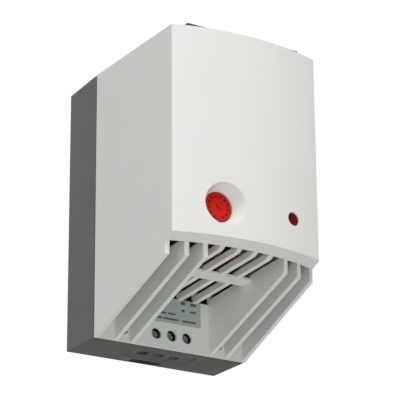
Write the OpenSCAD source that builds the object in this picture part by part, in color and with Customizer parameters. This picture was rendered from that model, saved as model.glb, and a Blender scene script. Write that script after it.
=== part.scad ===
// Fan heater for control cabinets: dark rear base for a 35 mm rail, light hood with a bowed front
// and a slatted air intake, temperature dial, indicator lamp, axial fan and finned heating core.
// Lengths are millimetres. X is to the right, the front looks along -Y, Z is up.
// The origin is the centre of the rail seat on the rear face.

/* [Housing] */
// Width where the hood meets the base
body_w = 100; // [90:1:120]
// Height of the hood
body_h = 162; // [146:1:190]
// Depth of the rear base
base_d = 34.5; // [34:0.5:45]
// Depth from the rear face to the front corners
front_d = 117.5; // [117:0.5:135]
// Rise of the bowed front at its middle
bow = 8.2; // [6:0.1:12]
// Taper of each hood side, from the base to the front
side_draft = 2; // [0.5:0.1:2.5]
// Drop of the hood's top, from the base to the front
top_drop = 0.6; // [0.2:0.1:1.5]
// Wall of the hood
wall = 2.4; // [1.8:0.1:2.8]
// Radius of the upright front edges
edge_r = 1.6; // [0.8:0.1:3]
// Taper of each base side, from the hood to the rear
base_draft = 1; // [0.2:0.1:1.5]
// Wall of the base at its front rim
base_wall = 3.4; // [2.8:0.1:3.6]
// Rear panel of the base
panel_t = 2.6; // [2:0.1:4]
// Radius of the base's rear edges
base_r = 2; // [1:0.5:3]
// Width of the shadow gap between base and hood
gap_w = 1; // [0.5:0.1:2]
// Depth of the shadow gap
gap_t = 0.8; // [0.4:0.1:1]

/* [Air intake] */
// Height of the lip's front edge
lip_z = 38; // [36:0.5:39]
// Width of the lip's underside
lip_w = 7.1; // [6:0.1:9]
// Drop of the lip's underside towards the rear
lip_drop = 2.8; // [1:0.1:4]
// Height of the slats' front faces
nose_h = 8; // [5:0.5:10]
// Distance from slat to slat
slat_pitch = 10.45; // [9.8:0.05:10.5]
// Thickness of the slats
slat_t = 2.6; // [2:0.1:3.5]
// Thickness of the bars over the terminal recess
bar_t = 2.8; // [2:0.1:3.5]
// Height of these bars
bar_h = 9; // [6:0.5:9.5]
// Width of the rib that crosses the bars
rib_w = 10; // [5:0.5:14]
// Height of that rib
rib_h = 4; // [2:0.5:6]

/* [Terminals] */
// Thickness of the hood's wall in front of the terminals
front_wall = 1.8; // [1.4:0.1:2.4]
// Height of that wall
front_wall_h = 31; // [28:0.5:31.5]
// Distance between poles
pole_pitch = 10.2; // [9.5:0.1:11]
// Height of the terminal screws
pole_z = 8.3; // [8:0.1:10]
// Diameter of the driver holes
driver_d = 6.6; // [5.5:0.1:7]
// Side of the square cable entries
entry_w = 6; // [5.6:0.1:7]
// Depth of the cable entries' centres from the rear face
entry_d = 20; // [19.6:0.1:20.4]
// Width of the rating plate
plate_w = 38.6; // [20:0.1:44]
// Height of the rating plate
plate_h = 15; // [8:0.1:15.5]
// Place of the cover screws, from the middle
cover_screw_x = 31.4; // [30.5:0.1:32]
// Height of the cover screws
cover_screw_z = 7.4; // [7.2:0.1:9]

/* [Controls] */
// Height of the dial and the lamp
control_z = 57.2; // [56:0.1:58]
// Place of the dial across the front
dial_x = -18.6; // [-20:0.1:-17]
// Diameter of the dial
dial_d = 17.2; // [14:0.1:19]
// Thickness of the dial
dial_t = 3.5; // [2.5:0.1:4]
// Depth of the dial's face below the front
dial_sink = 7; // [5:0.1:7.5]
// Diameter of the bowl around the dial, at the front
bowl_d = 25; // [23:0.1:28]
// Diameter of the dial's spindle
spindle_d = 6; // [4:0.1:7]
// Place of the lamp across the front
lamp_x = 27.3; // [24:0.1:29]
// Diameter of the lamp's window
lamp_d = 8; // [7:0.1:9]

/* [Fan] */
// Side of the square fan
fan_w = 80; // [72:0.5:88]
// Height of the fan frame
fan_h = 25; // [22:0.5:26]
// Space between the dial's collar and the fan
fan_over = 4.8; // [2:0.1:8]
// Distance of the fan's screws from its edges
fan_hole_in = 4.25; // [3.75:0.05:5]
// Thinnest place of the fan's frame
fan_rim = 2.25; // [1.5:0.05:4]
// Number of blades
blade_n = 7; // [5:1:9]
// Diameter of the fan's hub
hub_d = 36; // [34:1:40]
// Diameter of the fan's shaft
shaft_d = 3; // [2.5:0.1:4]

/* [Heating core] */
// Height of the core
core_h = 26; // [20:1:32]
// Number of fin rows
fin_rows = 4; // [2:1:5]
// Length of one fold of the fins
fold_l = 6; // [4:0.5:8]
// Sheet thickness of the fins
fin_t = 0.5; // [0.3:0.1:0.8]
// Space between the duct and the hood's sides
duct_side = 7.6; // [7:0.1:12]
// Wall of the duct that holds the core
duct_t = 2; // [1.5:0.1:2.5]

/* [Outlet grille] */
// Margin beside the grille, at the front corners
grille_side = 10.7; // [9:0.1:16]
// Margin behind the grille, up to the base
grille_back = 2.9; // [1:0.1:8]
// Margin between the grille's corners and the bowed front
grille_front = 4.2; // [3:0.1:10]
// Height of the grille's top above the hood's rear edge
grille_rise = 3; // [2:0.1:6]
// Number of grille slats
grille_n = 9; // [5:1:11]

/* [Rail clip] */
// Height of the rail's centre line above the lower edge
rail_z = 81; // [76:0.5:90]
// Width of the rail
rail_w = 35; // [35:1:35]
// Thickness of the rail's edge
rail_t = 1; // [0.8:0.1:1.5]
// Width of the clip's guide
guide_w = 20.4; // [16:0.2:22]
// Depth of the clip's guide
guide_d = 8.4; // [7:0.1:8.4]
// Travel of the clip
clip_travel = 4; // [3:0.1:4]

/* [Clearances] */
// Radial clearance of a turning shaft
run_gap = 0.04; // [0.02:0.01:0.08]
// Clearance around pieces that slide or turn freely
slide_gap = 0.35; // [0.3:0.01:0.4]
// Clearance of a piece in its seat
seat_gap = 0.1; // [0.05:0.01:0.2]

/* [Hidden] */
$fn = 96;

// Overshoot of cuts
cut = 1;

// Bowed front: an arc through the front corners, seen from above
front_half = body_w / 2 - side_draft;
bow_r = (front_half * front_half + bow * bow) / (2 * bow);
bow_y = bow_r - front_d - bow;
side_slope = side_draft / (front_d - base_d);
// Half the outer width of the hood at a depth
function side_x(depth) = body_w / 2 - side_slope * (depth - base_d);
// Y of the front arc of a radius, at a place across the front
function arc_y(x, r) = bow_y - sqrt(r * r - x * x);

// Intake mouth
low_r = bow_r - lip_w;
lip_land = 0.6;
lip_back_z = lip_z - lip_drop;
nose_z = lip_back_z - nose_h;
bar_drop = 2.6;
bar_z = lip_back_z - bar_drop;
slat_top = bar_z + bar_h;
mouth_y = -(base_d + front_wall);
slat_steps = [2.5, 3.5];
bar_steps = [0.5, 1.5];
rib_y = (arc_y(0, low_r) + mouth_y) / 2;

// Base
base_drop = 1.1;
base_lift = 0.8;
floor_z = 3.2;
base_in_x = body_w / 2 - base_wall;
base_roof = 3.6;
base_top = body_h - base_roof;
entry_x = [for (k = [-1:1]) k * pole_pitch];
inlay_w = 44;
inlay_d = 16;
inlay_t = 0.3;

// Rail guide
rail_play = 0.2;
hook_gap = rail_t + rail_play;
hook_t = 1.1;
hook_bite = 1.7;
hook_h = 4.2;
hook_w = 12;
hook_x = 28;
edge_gap = 0.3;
guide_lip = 1.6;
guide_wall = 2;
guide_over = 0.8;
guide_top = rail_z - rail_w / 2 + hook_bite + guide_over;
guide_lip_low = 6;
guide_lip_gap = 2;
guide_lip_high = rail_z - rail_w / 2 - hook_h - clip_travel - guide_lip_gap;
clip_w = guide_w - 2 * slide_gap;
clip_y = [-(guide_d - slide_gap), -(guide_lip + slide_gap)];
clip_low = 4;
clip_hook_z = rail_z - rail_w / 2 - edge_gap;
clip_neck_w = guide_w - 2 * guide_lip - 2 * slide_gap;
window_w = 8;
window_top = 44;
spring_d = 5.6;
spring_wire = 0.9;
spring_turns = 7;
ledge_z = 24;
ledge_h = 3;
pull_up = 3;
pull_z = clip_low + pull_up;
pull_w = 7;
pull_h = 2.6;

// Cover screws and their cups
cup_d = 7.2;
cup_in_d = 5.6;
cup_depth = 6.2;
cup_floor_y = -(base_d - cup_depth);
cup_floor_t = 2;
screw_d = 3;
screw_head_d = 5;
screw_head_h = 2.2;
screw_l = 10;
screw_play = 0.2;
tongue_w = 10;
tongue_x = 24;
tongue_t = 2.4;
tongue_l = 6;
tongue_root = 2;
tongue_gap = 0.2;
plate_t = 0.2;
plate_gap = 0.4;
plate_drop = 2;

// Controls
dial_front_y = arc_y(dial_x, bow_r);
dial_y = dial_front_y + dial_sink;
collar_d = dial_d + 2 * slide_gap;
bowl_lift = 0.3;
collar_wall = 1.5;
collar_out_d = bowl_d + 2 * collar_wall;
collar_over = 0.4;
collar_back_y = dial_y + dial_t + collar_over;
dial_edge = 0.4;
dial_slot_l = 4.4;
dial_slot_angle = 40;
board_t = 1.6;
board_depth = 16;
board_y = -(front_d - board_depth);
board_back_y = board_y + board_t;
board_w = 81;
board_low = 4.35;
board_up = 11.25;
board_z = [slat_top + board_low, control_z + board_up];
board_edge = 3.5;
body_gap = 2;
regulator_w = 26;
regulator_h = 19;
regulator_y = dial_y + dial_t + body_gap;
bush_wall = 2.5;
bush_h = 1.2;
spindle_reach = 8;
spindle_end_y = regulator_y + spindle_reach;
post_d = 6.4;
post_x = board_w / 2 - board_edge;
post_up = 7;
post_z = control_z + post_up;
pilot_d = 2.5;
pilot_l = 10;
pilot_play = 0.2;
board_head_d = 5;
board_head_h = 1.8;
board_screw_l = 9;
lamp_front_y = arc_y(lamp_x, bow_r);
lamp_depth = 4.5;
lamp_seat_y = lamp_front_y + lamp_depth;
lamp_flange = 1.1;
lamp_flange_t = 1.4;
lamp_boss_wall = 2.5;
lens_sink = 1;
lens_edge = 0.5;
led_d = 5;
led_reach = 1.6;
led_tip_y = lamp_seat_y - led_reach;
led_gap = 0.2;
led_rim = 0.4;
led_rim_h = 1;
led_back = 6.5;
holder_d = 7;
holder_y = lamp_seat_y + led_back;
lead_pitch = 2.54;
lead_d = 0.8;

// Fan
fan_gap = 0.5;
duct_half = body_w / 2 - wall - duct_side;
fan_y = arc_y(max(fan_w / 2, duct_half), bow_r - wall) + fan_gap + fan_w / 2;
fan_z = control_z + collar_out_d / 2 + fan_over;
fan_back_y = fan_y + fan_w / 2;
fan_top = fan_z + fan_h;
fan_pitch = fan_w - 2 * fan_hole_in;
fan_bore = fan_w - 2 * fan_rim;
fan_hole_d = 4.3;
fan_screw_d = 4;
fan_head_d = 7;
fan_head_h = 2.4;
blade_low = 1.5;
blade_high = 5;
blade_z = [fan_z + blade_low, fan_top - blade_high];
blade_t = 1.4;
blade_r = 30;
blade_c = [18.6, -22.2];
tip_gap = 0.9;
hub_plate_t = 3;
strut_w = 4;
cup_wall = 1.6;
cup_floor = 2;
magnet_t = 2;
bearing_d = 8;
bearing_z = blade_z[0] + 6;
boss_wall = 1.4;
magnet_gap = 1;
air_gap = 0.8;
stator_d = hub_d - 2 * (cup_wall + magnet_t + air_gap);
stator_z = bearing_z + 1.5;
pole_slot_l = 3.2;
pole_slot_w = 2.4;
shaft_in = 0.3;
shaft_gap = 1;
fan_screw_gap = 1;

// Heater duct and core
duct_z = fan_top;
duct_flange = 6;
grille_sink = 0.4;
grille_seat_z = body_h - top_drop - grille_sink;
throat_h = 3.6;
duct_gap = 1.6;
duct_top = grille_seat_z - throat_h - duct_gap;
core_z = duct_z + duct_flange;
ear_w = 6;
ear_h = 10;
ear_t = 3;
ear_low = 9;
ear_high = 9.8;
ear_z = [duct_z + ear_low, duct_top - ear_high];
ear_x = duct_half + ear_w / 2;
ear_root = 0.4;
ear_hole_d = 3.4;
duct_post_d = 6;
core_w = 2 * (duct_half - duct_t - seat_gap);
core_d = fan_w - 2 * (duct_t + seat_gap);
cap_w = 5;
fin_l = core_w - 2 * cap_w;
strip_t = 1.2;
ptc_t = 2.6;
sandwich_t = ptc_t + 2 * strip_t;
fin_h = (core_d - 2 * strip_t - (fin_rows - 1) * sandwich_t) / fin_rows;
fin_crest = 0.9;
row_step = fin_h + sandwich_t;
stones = 3;
stone_gap = 1.5;
stone_in = 2;
tab_w = 6.3;
tab_h = 6.3;
tab_in = 12;
cutout_d = 16;
cutout_t = 8;
cutout_up = 24;
cutout_z = duct_z + cutout_up;
flange_w = 24;
flange_h = 10;
flange_t = 1.2;

// Outlet grille
grille_top_z = body_h + grille_rise;
grille_rim = 4;
grille_w = 2 * (front_half - grille_side);
grille_d = -(base_d + grille_back) - arc_y(grille_w / 2, bow_r) - grille_front;
grille_y = -(base_d + grille_back + grille_d / 2);
throat_rim = 3.3;
throat_wall = 1.5;
grille_slat_t = 2;
grille_slat_up = 0.6;
grille_slat_sink = 0.4;
grille_cross_t = 2.4;
grille_cross_h = 1.6;

// Terminal block
block_side = 6.3;
block_w = 2 * (pole_pitch + block_side);
block_gap = 0.2;
block_front_y = -(base_d - block_gap);
block_back = 6.5;
block_back_y = -(entry_d - block_back);
block_top = 23;
hole_inset = 0.3;
wire_hole = entry_w - 2 * hole_inset;
clamp_wall = 1.1;
clamp_front = 4.4;
clamp_foot = 1.2;
clamp_top = 12.2;
clamp_z = [floor_z + clamp_foot, clamp_top];
clamp_y = [-(entry_d + wire_hole / 2 + clamp_front), -(entry_d - wire_hole / 2 - clamp_wall)];
clamp_w = wire_hole + 2 * clamp_wall;
pole_head_d = 5.6;
pole_head_h = 2.5;
shoulder_t = 0.6;
pole_shoulder_y = clamp_y[0] - shoulder_t;
pole_shank_d = 4;
slot_w = 1;
slot_t = 0.9;

// Wires: each leaves the top of the terminal block and ends square on the face of its piece
wire_d = 2.2;
wire_sides = 8;
wire_step = 3;
wire_lift = 14;
wire_lead = 7;
wire_in = 10.5;
wire_back_in = 16.5;
wire_y = -(base_d - wire_in);
wire_back_y = -(base_d - wire_back_in);
wire_over = 5.4;
wire_over_z = slat_top + wire_over;
wire_drop = 6;
board_wire_x = 18;
fan_wire_x = 14;
fan_wire_up = 12;
cutout_wire_x = 4;
core_wire_x = 22;
// Way of a wire over the slats to the board
function board_way(x0, x1) = let (a = [x0, wire_y, block_top], d = [x1, board_back_y, control_z - wire_drop])
    [a, a + [0, 0, wire_lift], [(3 * x0 + x1) / 4, wire_y - wire_lead, wire_over_z],
        [(x0 + 3 * x1) / 4, (wire_y + board_back_y) / 2, wire_over_z], d + [0, wire_lead, 0], d];
// Way of a wire up behind the fan, from a to d
function rear_way(a, d) = [a, a + [0, 0, wire_lift], [(2 * a.x + d.x) / 3, a.y, (a.z + d.z) / 2],
    [(a.x + 2 * d.x) / 3, a.y, d.z - wire_lift], d + [0, wire_lead, 0], d];

// Point on a smooth curve between b and c
function curve(a, b, c, d, t) = 0.5 * (2 * b + (c - a) * t + (2 * a - 5 * b + 4 * c - d) * t * t
    + (3 * b - a - 3 * c + d) * t * t * t);
function smooth(p, n) = let (last = len(p) - 1) [for (i = [0:last - 1]) for (k = [0:n - 1])
    curve(p[max(i - 1, 0)], p[i], p[i + 1], p[min(i + 2, last)], k / n), p[last]];
function unit(v) = v / norm(v);
// Ring of points around a path at p, square to t, with its first point towards the side vector
function ring(p, t, side, r, n) = let (u = unit(cross(t, side)), v = unit(cross(u, t)))
    [for (k = [0:n - 1]) p + r * (cos(360 * k / n) * u + sin(360 * k / n) * v)];
function along(p, i) = p[min(i + 1, len(p) - 1)] - p[max(i - 1, 0)];

// Places a piece whose heights count from the lower edge
module from_foot() {
    translate([0, 0, -rail_z]) children();
}

// Profile with points [y, z], drawn across the width from x0 to x1
module across(x0, x1) {
    translate([x0, 0, 0]) rotate([90, 0, 90]) linear_extrude(x1 - x0) children();
}

// Cylinder along Y from y0 to y1
module rod(x, z, d, y0, y1) {
    translate([x, y1, z]) rotate([90, 0, 0]) cylinder(d = d, h = y1 - y0);
}

// Box between two corners
module block(a, b) {
    translate(a) cube(b - a);
}

// Tube swept along points, closed at both ends
module tube(path, ends, side, r, n) {
    last = len(path) - 1;
    rings = [for (i = [0:last]) ring(path[i], unit(i == 0 ? ends[0] : i == last ? ends[1] : along(path, i)),
        side, r, n)];
    points = [for (g = rings) each g];
    walls = [for (i = [0:last - 1]) for (k = [0:n - 1]) let (m = (k + 1) % n, a = i * n, b = (i + 1) * n)
        each [[a + k, a + m, b + m], [a + k, b + m, b + k]]];
    polyhedron(points, concat(walls, [[for (k = [n - 1:-1:0]) k]], [[for (k = [0:n - 1]) last * n + k]]));
}

module wire(route) {
    last = len(route) - 1;
    tube(smooth(route, wire_step), [route[1] - route[0], route[last] - route[last - 1]],
        [1, 0, 0], wire_d / 2, wire_sides);
}

// Outline of the hood from above, drawn in by the wall where asked
module plan(inset) {
    intersection() {
        polygon([[-(body_w / 2 - inset), -base_d], [body_w / 2 - inset, -base_d],
            [side_x(front_d + 2 * bow) - inset, -front_d - 2 * bow],
            [-(side_x(front_d + 2 * bow) - inset), -front_d - 2 * bow]]);
        translate([0, bow_y]) circle(r = bow_r - inset, $fn = 240);
    }
}

// Round front corner of the outline: an arc that meets the side and the bow smoothly
slope_len = sqrt(1 + side_slope * side_slope);
edge_q = body_w / 2 + side_slope * base_d - edge_r * slope_len;
edge_rho = bow_r - edge_r;
edge_b = edge_q * side_slope - bow_y;
edge_depth = (edge_b + sqrt(edge_b * edge_b - slope_len * slope_len
    * (edge_q * edge_q + bow_y * bow_y - edge_rho * edge_rho))) / (slope_len * slope_len);
edge_c = [edge_q - side_slope * edge_depth, -edge_depth];
edge_side = edge_c + edge_r * [1, -side_slope] / slope_len;
edge_front = [0, bow_y] + (edge_c - [0, bow_y]) * bow_r / edge_rho;
edge_out = edge_side + edge_front - 2 * edge_c;
// Corner of the outline, up to the arc's centre or drawn from a point behind it
module corner(back) {
    polygon([edge_c - back * edge_out, edge_side, edge_c + 3 * edge_out, edge_front]);
}
module rounded_plan() {
    difference() {
        plan(0);
        corner(0);
        mirror([1, 0]) corner(0);
    }
    for (m = [0, 1])
        mirror([m, 0]) intersection() {
            corner(0.3);
            translate(edge_c) circle(r = edge_r, $fn = 48);
        }
}

// Space under the lip and in front of the slats' noses
module lip_cut() {
    reach = lip_w + 3 * bow;
    translate([0, bow_y, 0]) rotate_extrude($fn = 240)
        polygon([[low_r, -cut], [low_r, lip_back_z], [low_r + reach, lip_back_z + reach * lip_drop / lip_w],
            [low_r + reach, -cut]]);
}

// Hood without its slats
module hood() {
    nose_y = arc_y(front_half, low_r);
    difference() {
        linear_extrude(body_h) rounded_plan();
        lip_cut();
        across(-body_w, body_w)
            polygon([[mouth_y, -cut], [mouth_y, 0], [nose_y, nose_z], [nose_y - body_w, nose_z],
                [nose_y - body_w, -cut]]);
        across(-body_w, body_w)
            polygon([[-base_d + cut, body_h + cut * top_drop / (front_d - base_d)],
                [-base_d + cut, body_h + cut], [-2 * front_d, body_h + cut],
                [-2 * front_d, body_h - top_drop * (2 * front_d - base_d) / (front_d - base_d)]]);
        translate([0, 0, slat_top]) linear_extrude(body_h - top_drop - wall - slat_top)
            open_plan() plan(wall);
        translate([0, 0, lip_back_z - cut]) linear_extrude(slat_top - lip_back_z + 2 * cut) intersection() {
            throat_plan();
            translate([0, bow_y]) circle(r = low_r - lip_land, $fn = 240);
        }
        translate([0, 0, -cut]) linear_extrude(lip_back_z + cut) throat_plan();
    }
}

// An inner outline carried through the open rear of the hood
module open_plan() {
    children();
    translate([-(body_w / 2 - wall), -base_d - cut / 2]) square([body_w - 2 * wall, 2 * cut]);
}
module throat_plan() {
    far = front_d + 4 * bow;
    polygon([[-(body_w / 2 - wall), -base_d + cut], [body_w / 2 - wall, -base_d + cut],
        [body_w / 2 - wall, -base_d], [side_x(far) - wall, -far], [-(side_x(far) - wall), -far],
        [-(body_w / 2 - wall), -base_d]]);
}

// One intake slat, upright, with its lower edge rising from the base to its nose
module slat(x) {
    nose_y = arc_y(x, low_r);
    across(x - slat_t / 2, x + slat_t / 2)
        polygon([[mouth_y + front_wall, 0], [mouth_y, 0], [nose_y, nose_z], [nose_y - lip_land, nose_z],
            [nose_y - lip_land, slat_top], [mouth_y + front_wall, slat_top]]);
}

// Slats, bars and cross rib of the intake
module intake() {
    recess_x = slat_steps[0] * slat_pitch;
    difference() {
        union() {
            for (s = slat_steps)
                for (m = [-1, 1])
                    slat(m * s * slat_pitch);
            for (s = bar_steps)
                for (m = [-1, 1])
                    block([m * s * slat_pitch - bar_t / 2, arc_y(s * slat_pitch, low_r) - lip_land, bar_z],
                        [m * s * slat_pitch + bar_t / 2, mouth_y + front_wall, slat_top]);
            block([-recess_x, rib_y - rib_w / 2, bar_z], [recess_x, rib_y + rib_w / 2, bar_z + rib_h]);
        }
        lip_cut();
    }
}

// Wall in front of the terminals, with driver holes and screw cups
module terminal_wall() {
    half = body_w / 2 - wall / 2;
    difference() {
        union() {
            block([-half, mouth_y, 0], [half, -base_d, front_wall_h]);
            intersection() {
                for (m = [-1, 1])
                    rod(m * cover_screw_x, cover_screw_z, cup_d, mouth_y, cup_floor_y);
                block([-half, mouth_y, floor_z + seat_gap], [half, cup_floor_y, front_wall_h]);
            }
        }
        for (x = entry_x)
            rod(x, pole_z, driver_d, mouth_y - cut, -base_d + cut);
        for (m = [-1, 1]) {
            rod(m * cover_screw_x, cover_screw_z, cup_in_d, mouth_y - cut, cup_floor_y - cup_floor_t);
            rod(m * cover_screw_x, cover_screw_z, screw_d + 2 * screw_play, mouth_y, cup_floor_y + cut);
        }
    }
}

// Bosses on the inside of the hood's front
module front_bosses() {
    intersection() {
        translate([0, 0, slat_top]) linear_extrude(body_h - slat_top - 2 * wall) plan(wall / 2);
        union() {
            rod(dial_x, control_z, collar_out_d, dial_front_y - bow, collar_back_y);
            rod(lamp_x, control_z, lamp_d + 2 * lamp_boss_wall, lamp_front_y - bow, lamp_seat_y);
            for (m = [-1, 1])
                rod(m * post_x, post_z, post_d, lamp_front_y - bow, board_y);
        }
    }
}

// Tongues at the top that hook behind the base's rim
module tongues() {
    z1 = base_top - tongue_gap;
    for (m = [-1, 1])
        translate([m * tongue_x - tongue_w / 2, -base_d, 0]) {
            block([0, -tongue_root, z1 - tongue_t], [tongue_w, tongue_l, z1]);
            block([0, -tongue_root, z1 - tongue_t], [tongue_w, 0, body_h - wall / 2]);
        }
}

module front_cover() {
    color([0.88, 0.88, 0.87]) from_foot() difference() {
        union() {
            hood();
            intake();
            terminal_wall();
            front_bosses();
            tongues();
        }
        // Bowl and collar for the dial
        translate([dial_x, dial_y - bowl_lift, control_z]) rotate([90, 0, 0])
            cylinder(d1 = collar_d, d2 = collar_d + (bowl_d - collar_d) * 2, h = (dial_sink - bowl_lift) * 2);
        rod(dial_x, control_z, collar_d, dial_y - cut, collar_back_y + cut);
        // Lamp window
        rod(lamp_x, control_z, lamp_d, lamp_front_y - bow, lamp_seat_y + cut);
        // Pilot holes for the board
        for (m = [-1, 1])
            rod(m * post_x, post_z, pilot_d + 2 * run_gap, board_y - pilot_l, board_y + cut);
        // Seat and throat of the outlet grille
        grille_box(grille_w / 2 + slide_gap, grille_d / 2 + slide_gap, grille_seat_z, body_h + cut);
        grille_box(grille_w / 2 - throat_rim + slide_gap, grille_d / 2 - throat_rim + slide_gap,
            body_h - 3 * wall, body_h + cut);
    }
}

// Rectangular block around the grille's centre
module grille_box(half_w, half_d, z0, z1) {
    block([-half_w, grille_y - half_d, z0], [half_w, grille_y + half_d, z1]);
}

module outlet_grille() {
    step = (grille_d - 2 * grille_rim) / (grille_n + 1);
    half_w = grille_w / 2;
    half_d = grille_d / 2;
    slat_half = half_w - throat_rim - throat_wall / 2;
    slat_z = grille_seat_z + grille_slat_up;
    color([0.2, 0.21, 0.21]) from_foot() {
        difference() {
            union() {
                grille_box(half_w, half_d, grille_seat_z, grille_top_z);
                grille_box(half_w - throat_rim, half_d - throat_rim, grille_seat_z - throat_h, grille_seat_z);
            }
            grille_box(half_w - throat_rim - throat_wall, half_d - throat_rim - throat_wall,
                grille_seat_z - throat_h - cut, grille_top_z + cut);
        }
        for (k = [1:grille_n])
            translate([0, grille_y - half_d + grille_rim + k * step, 0])
                block([-slat_half, -grille_slat_t / 2, slat_z],
                    [slat_half, grille_slat_t / 2, grille_top_z - grille_slat_sink]);
        for (m = [-1, 1])
            translate([m * half_w / 3, grille_y, slat_z])
                block([-grille_cross_t / 2, grille_rim - half_d, 0],
                    [grille_cross_t / 2, half_d - grille_rim, grille_cross_h]);
    }
}

module rating_plate() {
    top = min(front_wall_h - plate_gap, bar_z - plate_drop);
    color([0.66, 0.69, 0.69]) from_foot()
        block([-plate_w / 2, mouth_y - plate_t, top - plate_h], [plate_w / 2, mouth_y, top]);
}

// Screw along Y with its head at the front, head underside at y
module screw(x, y, z, d, head_d, head_h, l) {
    difference() {
        union() {
            rod(x, z, head_d, y - head_h, y);
            rod(x, z, d, y - head_h / 2, y + l);
        }
        block([x - head_d, y - head_h - cut, z - slot_w / 2],
            [x + head_d, y - head_h + slot_t, z + slot_w / 2]);
    }
}

module cover_screws() {
    color([0.75, 0.76, 0.77]) from_foot()
        for (m = [-1, 1])
            screw(m * cover_screw_x, cup_floor_y - cup_floor_t, cover_screw_z, screw_d, screw_head_d,
                screw_head_h, screw_l);
}

// Outer form of the base, without its hollow
module base_block() {
    half = body_w / 2;
    rear_half = half - base_draft;
    rear_top = body_h - base_drop;
    intersection() {
        linear_extrude(body_h) union() {
            polygon([[-half, -base_d], [half, -base_d], [rear_half, -base_r], [rear_half - base_r, 0],
                [-(rear_half - base_r), 0], [-rear_half, -base_r]]);
            for (m = [-1, 1])
                translate([m * (rear_half - base_r), -base_r]) circle(r = base_r, $fn = 48);
        }
        across(-half - cut, half + cut) union() {
            polygon([[-base_d, 0], [-base_d, body_h], [-base_r, rear_top], [0, rear_top - base_r],
                [0, base_lift + base_r], [-base_r, base_lift]]);
            for (z = [base_lift + base_r, rear_top - base_r])
                translate([-base_r, z]) circle(r = base_r, $fn = 48);
        }
    }
}

// Shadow gap around the front rim of the base
module rim_groove() {
    difference() {
        block([-body_w, -base_d - cut, -cut], [body_w, -base_d + gap_w, body_h + cut]);
        block([-(body_w / 2 - gap_t), -base_d - 2 * cut, gap_t],
            [body_w / 2 - gap_t, -base_d + 2 * gap_w, body_h - gap_t]);
    }
}

// Fixed hooks over the rail's upper edge
module rail_hooks() {
    z0 = rail_z + rail_w / 2 + edge_gap;
    for (m = [-1, 1])
        across(m * hook_x - hook_w / 2, m * hook_x + hook_w / 2)
            polygon([[-panel_t / 2, z0], [-panel_t / 2, z0 + hook_h], [hook_gap, z0 + hook_h],
                [hook_gap + hook_t, z0 + hook_h - hook_t], [hook_gap + hook_t, z0 - hook_bite],
                [hook_gap, z0 - hook_bite], [hook_gap, z0]]);
}

module rear_base() {
    half_guide = guide_w / 2;
    color([0.36, 0.36, 0.355]) from_foot() difference() {
        union() {
            difference() {
                base_block();
                block([-base_in_x, -base_d - cut, floor_z], [base_in_x, -panel_t, base_top]);
            }
            rail_hooks();
            block([-half_guide - guide_wall, -guide_d - guide_wall, floor_z / 2],
                [half_guide + guide_wall, -panel_t / 2, guide_top + guide_wall]);
            for (m = [-1, 1]) {
                rod(m * cover_screw_x, cover_screw_z, cup_d, cup_floor_y, -panel_t / 2);
                for (z = ear_z)
                    rod(m * ear_x, z, duct_post_d, fan_back_y, -panel_t / 2);
            }
        }
        rim_groove();
        // Cable entries in their shallow panel
        for (x = entry_x)
            block([x - entry_w / 2, -entry_d - entry_w / 2, -cut],
                [x + entry_w / 2, -entry_d + entry_w / 2, 2 * floor_z]);
        block([-inlay_w / 2, -entry_d - inlay_d / 2, -cut],
            [inlay_w / 2, -entry_d + inlay_d / 2, base_lift / 2 + inlay_t]);
        // Guide of the rail clip, with lips that keep it in
        difference() {
            block([-half_guide, -guide_d, -cut], [half_guide, cut, guide_top]);
            for (m = [-1, 1])
                block([m * (half_guide - guide_lip / 2) - guide_lip / 2, -guide_lip, guide_lip_low],
                    [m * (half_guide - guide_lip / 2) + guide_lip / 2, 2 * cut, guide_lip_high]);
            block([-window_w / 2 + slide_gap, -guide_d - cut, ledge_z - ledge_h],
                [window_w / 2 - slide_gap, -guide_lip - slide_gap, ledge_z]);
        }
        // Pilot holes
        for (m = [-1, 1]) {
            rod(m * cover_screw_x, cover_screw_z, screw_d + seat_gap, cup_floor_y - cut,
                cup_floor_y - cup_floor_t + screw_l + cut);
            for (z = ear_z)
                rod(m * ear_x, z, screw_d + seat_gap, fan_back_y - cut, fan_back_y - ear_t + screw_l + cut);
        }
    }
}

module din_clip() {
    half = clip_w / 2;
    neck = clip_neck_w / 2;
    color([0.3, 0.3, 0.3]) from_foot() difference() {
        union() {
            block([-half, clip_y[0], clip_low], [half, clip_y[1], clip_hook_z - hook_h / 2]);
            across(-neck, neck)
                polygon([[clip_y[0], clip_hook_z - hook_h], [hook_gap, clip_hook_z - hook_h],
                    [hook_gap + hook_t, clip_hook_z - hook_h + hook_t],
                    [hook_gap + hook_t, clip_hook_z + hook_bite], [hook_gap, clip_hook_z + hook_bite],
                    [hook_gap, clip_hook_z], [clip_y[0], clip_hook_z]]);
        }
        block([-window_w / 2, clip_y[0] - cut, ledge_z - ledge_h],
            [window_w / 2, clip_y[1] + cut, window_top]);
        block([-pull_w / 2, clip_y[0] - cut, pull_z], [pull_w / 2, clip_y[1] + cut, pull_z + pull_h]);
    }
}

module clip_spring() {
    r = (spring_d - spring_wire) / 2;
    z0 = ledge_z + spring_wire / 2 + seat_gap;
    z1 = window_top - spring_wire / 2 - slide_gap;
    per_turn = 10;
    n = spring_turns * per_turn;
    y = (clip_y[0] + clip_y[1]) / 2;
    path = [for (i = [0:n]) let (a = 360 * i / per_turn)
        [r * cos(a), y + r * sin(a), z0 + (z1 - z0) * i / n]];
    color([0.72, 0.73, 0.74]) from_foot()
        tube(path, [path[1] - path[0], path[n] - path[n - 1]], [0, 0, 1], spring_wire / 2, 6);
}

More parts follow.
